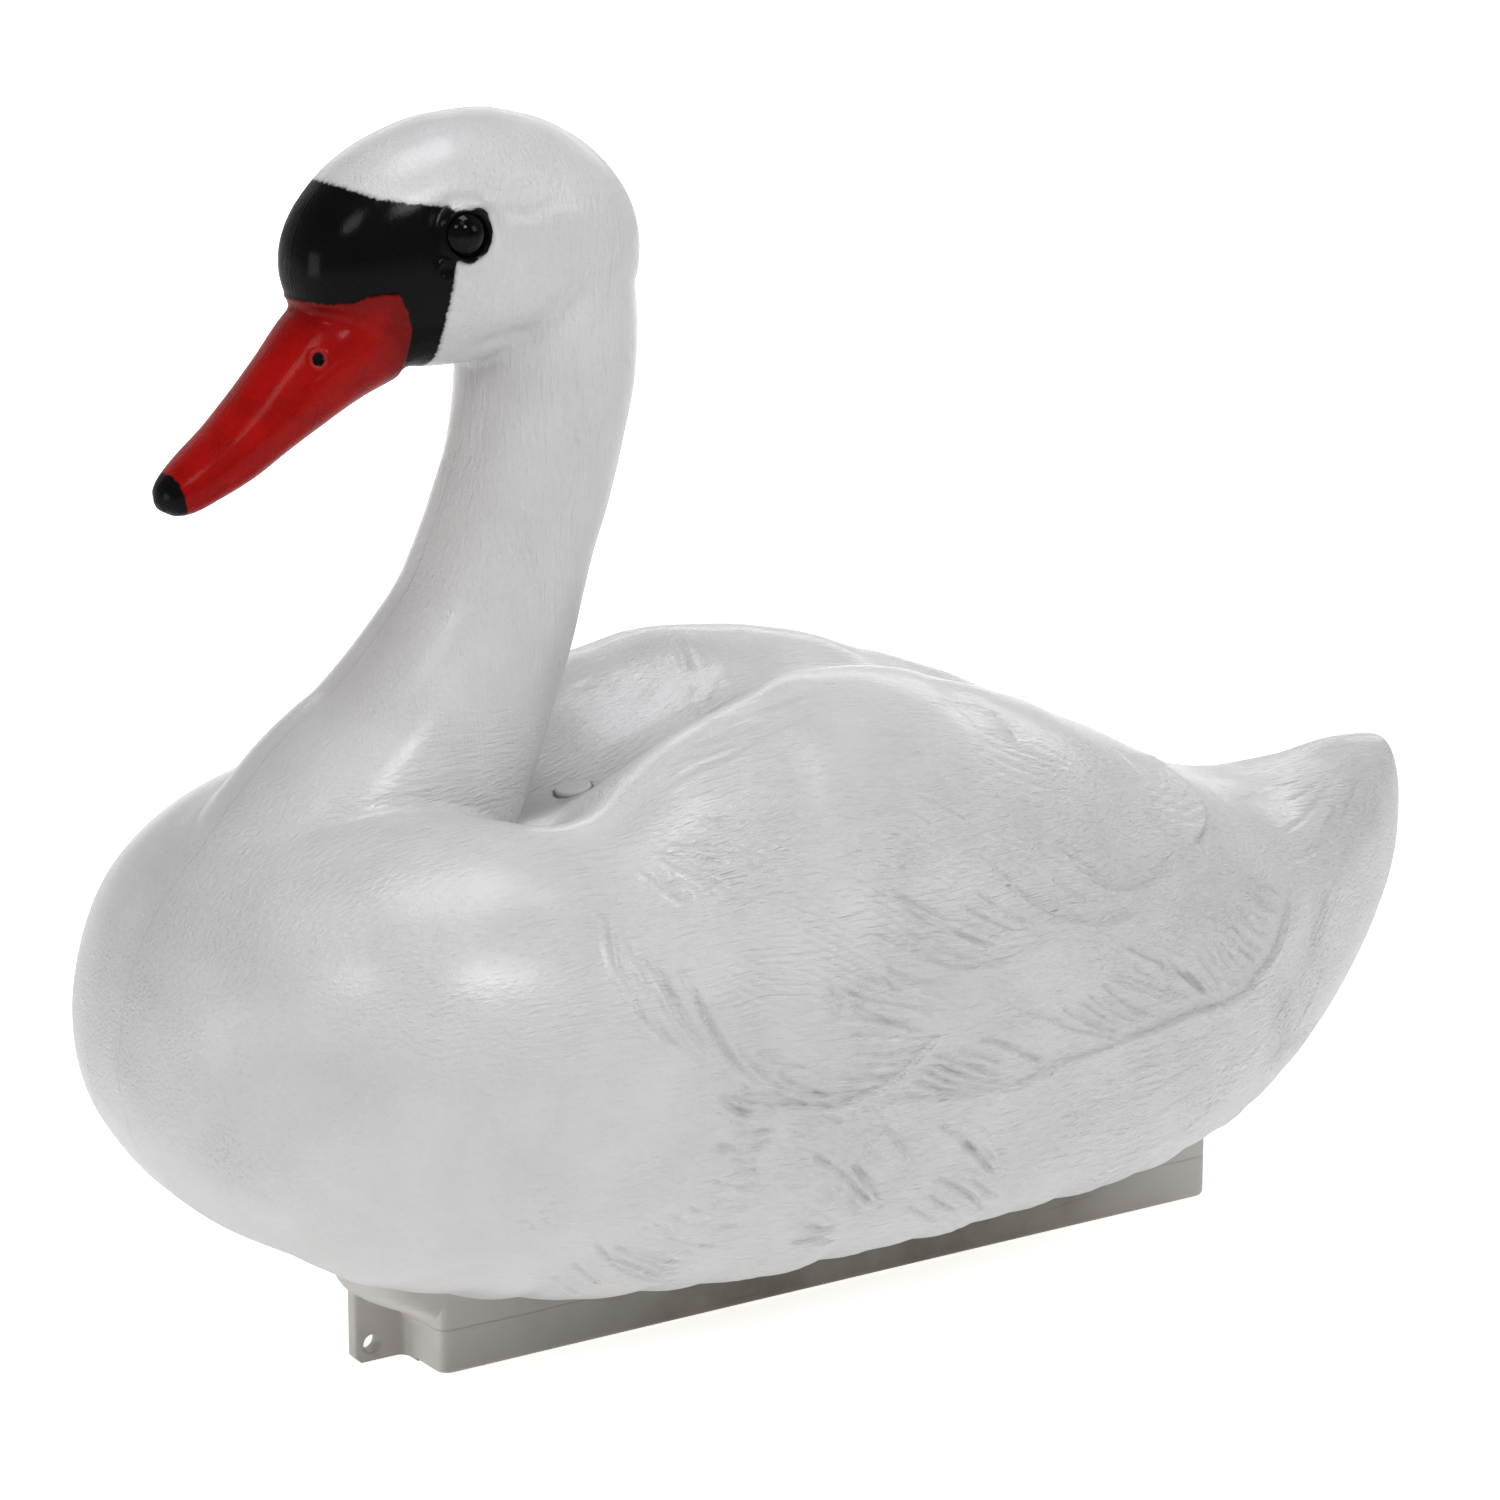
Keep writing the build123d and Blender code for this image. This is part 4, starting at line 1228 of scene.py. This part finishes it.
def dress_pieces():
    for material, pieces in (
        (keel_material(), ["keel_shell"]),
        (sand_material(), ["ballast_sand"]),
        (steel_material(), ["keel_screws", "keel_washers"]),
        (plastic_material(
            "plug_plastic", low=(0.62, 0.63, 0.63), high=(0.70, 0.71, 0.71),
            rough=(0.35, 0.5), scale=160, bump=0.0004), ["ballast_plug"]),
        (plastic_material(
            "seal_rubber", low=(0.012, 0.012, 0.013), high=(0.03, 0.03, 0.03),
            rough=(0.55, 0.75), scale=300, scratched=False), ["plug_oring"]),
        (plastic_material(
            "vent_plastic", low=(0.60, 0.60, 0.60), high=(0.66, 0.66, 0.665),
            rough=(0.36, 0.5), scale=260), ["vent_plug"]),
        (eye_material(), ["eye_left", "eye_right"]),
    ):
        for piece in pieces:
            give(NODES[piece], material)


# ---------------------------------------------------------------- stage, metres
CAMERA_AZIMUTH, CAMERA_ELEVATION = math.radians(57), math.radians(15.5)


def floor_material():
    mat = Nodes("floor")
    tone = mat.ramp(mat.noise(3.0))
    seen = mat.add("ShaderNodeLightPath").outputs["Is Camera Ray"]
    glow, added_when_seen = 0.30, 0.48
    return mat.finish(
        Base_Color=mat.colour(tone, (0.93, 0.93, 0.93), (0.96, 0.96, 0.96)),
        Roughness=0.9, Specular_IOR_Level=0.1, Emission_Color=(1.0, 0.97, 0.94),
        Emission_Strength=mat.math("MULTIPLY_ADD", seen, added_when_seen, glow),
    )


def build_floor():
    """A pale sweep: flat under the object, rising behind it as the camera sees it."""
    half, rows, columns = 9.0, 60, 8
    flat_to, curve = 3.0, 0.22
    bm = bmesh.new()
    grid = []
    for i in range(rows + 1):
        y = -half + 2 * half * i / rows
        z = 0.0 if y < flat_to else curve * (y - flat_to) ** 2
        grid.append([
            bm.verts.new((-half + 2 * half * j / columns, y, z)) for j in range(columns + 1)])
    for a, b in zip(grid, grid[1:]):
        for j in range(columns):
            bm.faces.new((a[j], a[j + 1], b[j + 1], b[j]))
    mesh = bpy.data.meshes.new("floor")
    bm.to_mesh(mesh)
    bm.free()
    floor = link_object("floor", mesh)
    floor.rotation_euler = (0, 0, CAMERA_AZIMUTH)
    shade_smooth(mesh)
    give(floor, floor_material())


def area_light(name, place, aim, size, power, colour=(1, 1, 1)):
    data = bpy.data.lights.new(name, "AREA")
    data.shape, data.size, data.size_y = "RECTANGLE", size[0], size[1]
    data.energy, data.color = power, colour
    light = link_object(name, data)
    light.location = place
    light.rotation_euler = (Vector(aim) - Vector(place)).to_track_quat("-Z", "Y").to_euler()


def build_lights(target, side, up, back):
    """Lights placed along the camera's own axes."""
    aim = Vector((0, 0, 0.25))
    area_light("key", target + back * 2.3 - side * 0.9 + up * 1.3, aim, size=(0.6, 0.6), power=8)
    area_light("lamp", target + back * 2.0 + side * 0.75 + up * 1.2, aim, size=(0.5, 0.5), power=13)
    area_light("right", target + back * 1.0 + side * 2.2 + up * 0.9, aim,
               size=(0.9, 0.9), power=7, colour=(1.0, 0.99, 0.98))
    area_light("front", target + back * 2.4 + up * 2.4 + side * 0.3, Vector((0.5, -0.3, 0)),
               size=(1.0, 1.0), power=6)
    area_light("top", target + up * 2.2 + side * 0.2 + back * 0.8, aim,
               size=(0.9, 0.9), power=20, colour=(0.97, 0.98, 1.0))
    area_light("left", target + back * 0.9 - side * 2.2 - up * 0.1, Vector((0, -0.15, 0.12)),
               size=(0.9, 0.9), power=9)
    area_light("sweep", target - back * 2.2 + up * 1.6, target - back * 3.0 - up * 0.6,
               size=(3.0, 1.0), power=45)


def build_world():
    """White where the camera looks past the floor, a low fill light everywhere else."""
    fill, added_when_seen = 0.16, 0.84
    world = bpy.data.worlds.new("studio")
    bpy.context.scene.world = world
    world.use_nodes = True
    tree = world.node_tree
    shade = tree.nodes["Background"]
    shade.inputs["Color"].default_value = (1, 1, 1, 1)
    path = tree.nodes.new("ShaderNodeLightPath")
    level = tree.nodes.new("ShaderNodeMath")
    level.operation = "MULTIPLY_ADD"
    tree.links.new(path.outputs["Is Camera Ray"], level.inputs[0])
    level.inputs[1].default_value, level.inputs[2].default_value = added_when_seen, fill
    tree.links.new(level.outputs[0], shade.inputs["Strength"])


def build_camera(target, side, up, back):
    data = bpy.data.cameras.new("camera")
    data.sensor_fit, data.sensor_width = "HORIZONTAL", 36
    data.lens = 131.424
    data.shift_x, data.shift_y = 1 / 150, -1 / 300
    data.clip_start, data.clip_end = 0.05, 60
    camera = link_object("camera", data)
    camera.location = target + back * 2.3
    camera.rotation_euler = Matrix((side, up, back)).transposed().to_euler()
    bpy.context.scene.camera = camera


def build_stage():
    build_floor()
    azimuth, elevation = CAMERA_AZIMUTH, CAMERA_ELEVATION
    back = Vector((
        math.sin(azimuth) * math.cos(elevation), -math.cos(azimuth) * math.cos(elevation),
        math.sin(elevation),
    ))
    side = Vector((math.cos(azimuth), math.sin(azimuth), 0))
    up = back.cross(side)
    target = Vector((0, 0, 0.236))
    build_lights(target, side, up, back)
    bpy.context.scene.view_settings.view_transform = "Standard"
    build_world()
    build_camera(target, side, up, back)


give(build_skin(), shell_material())
dress_pieces()
build_stage()
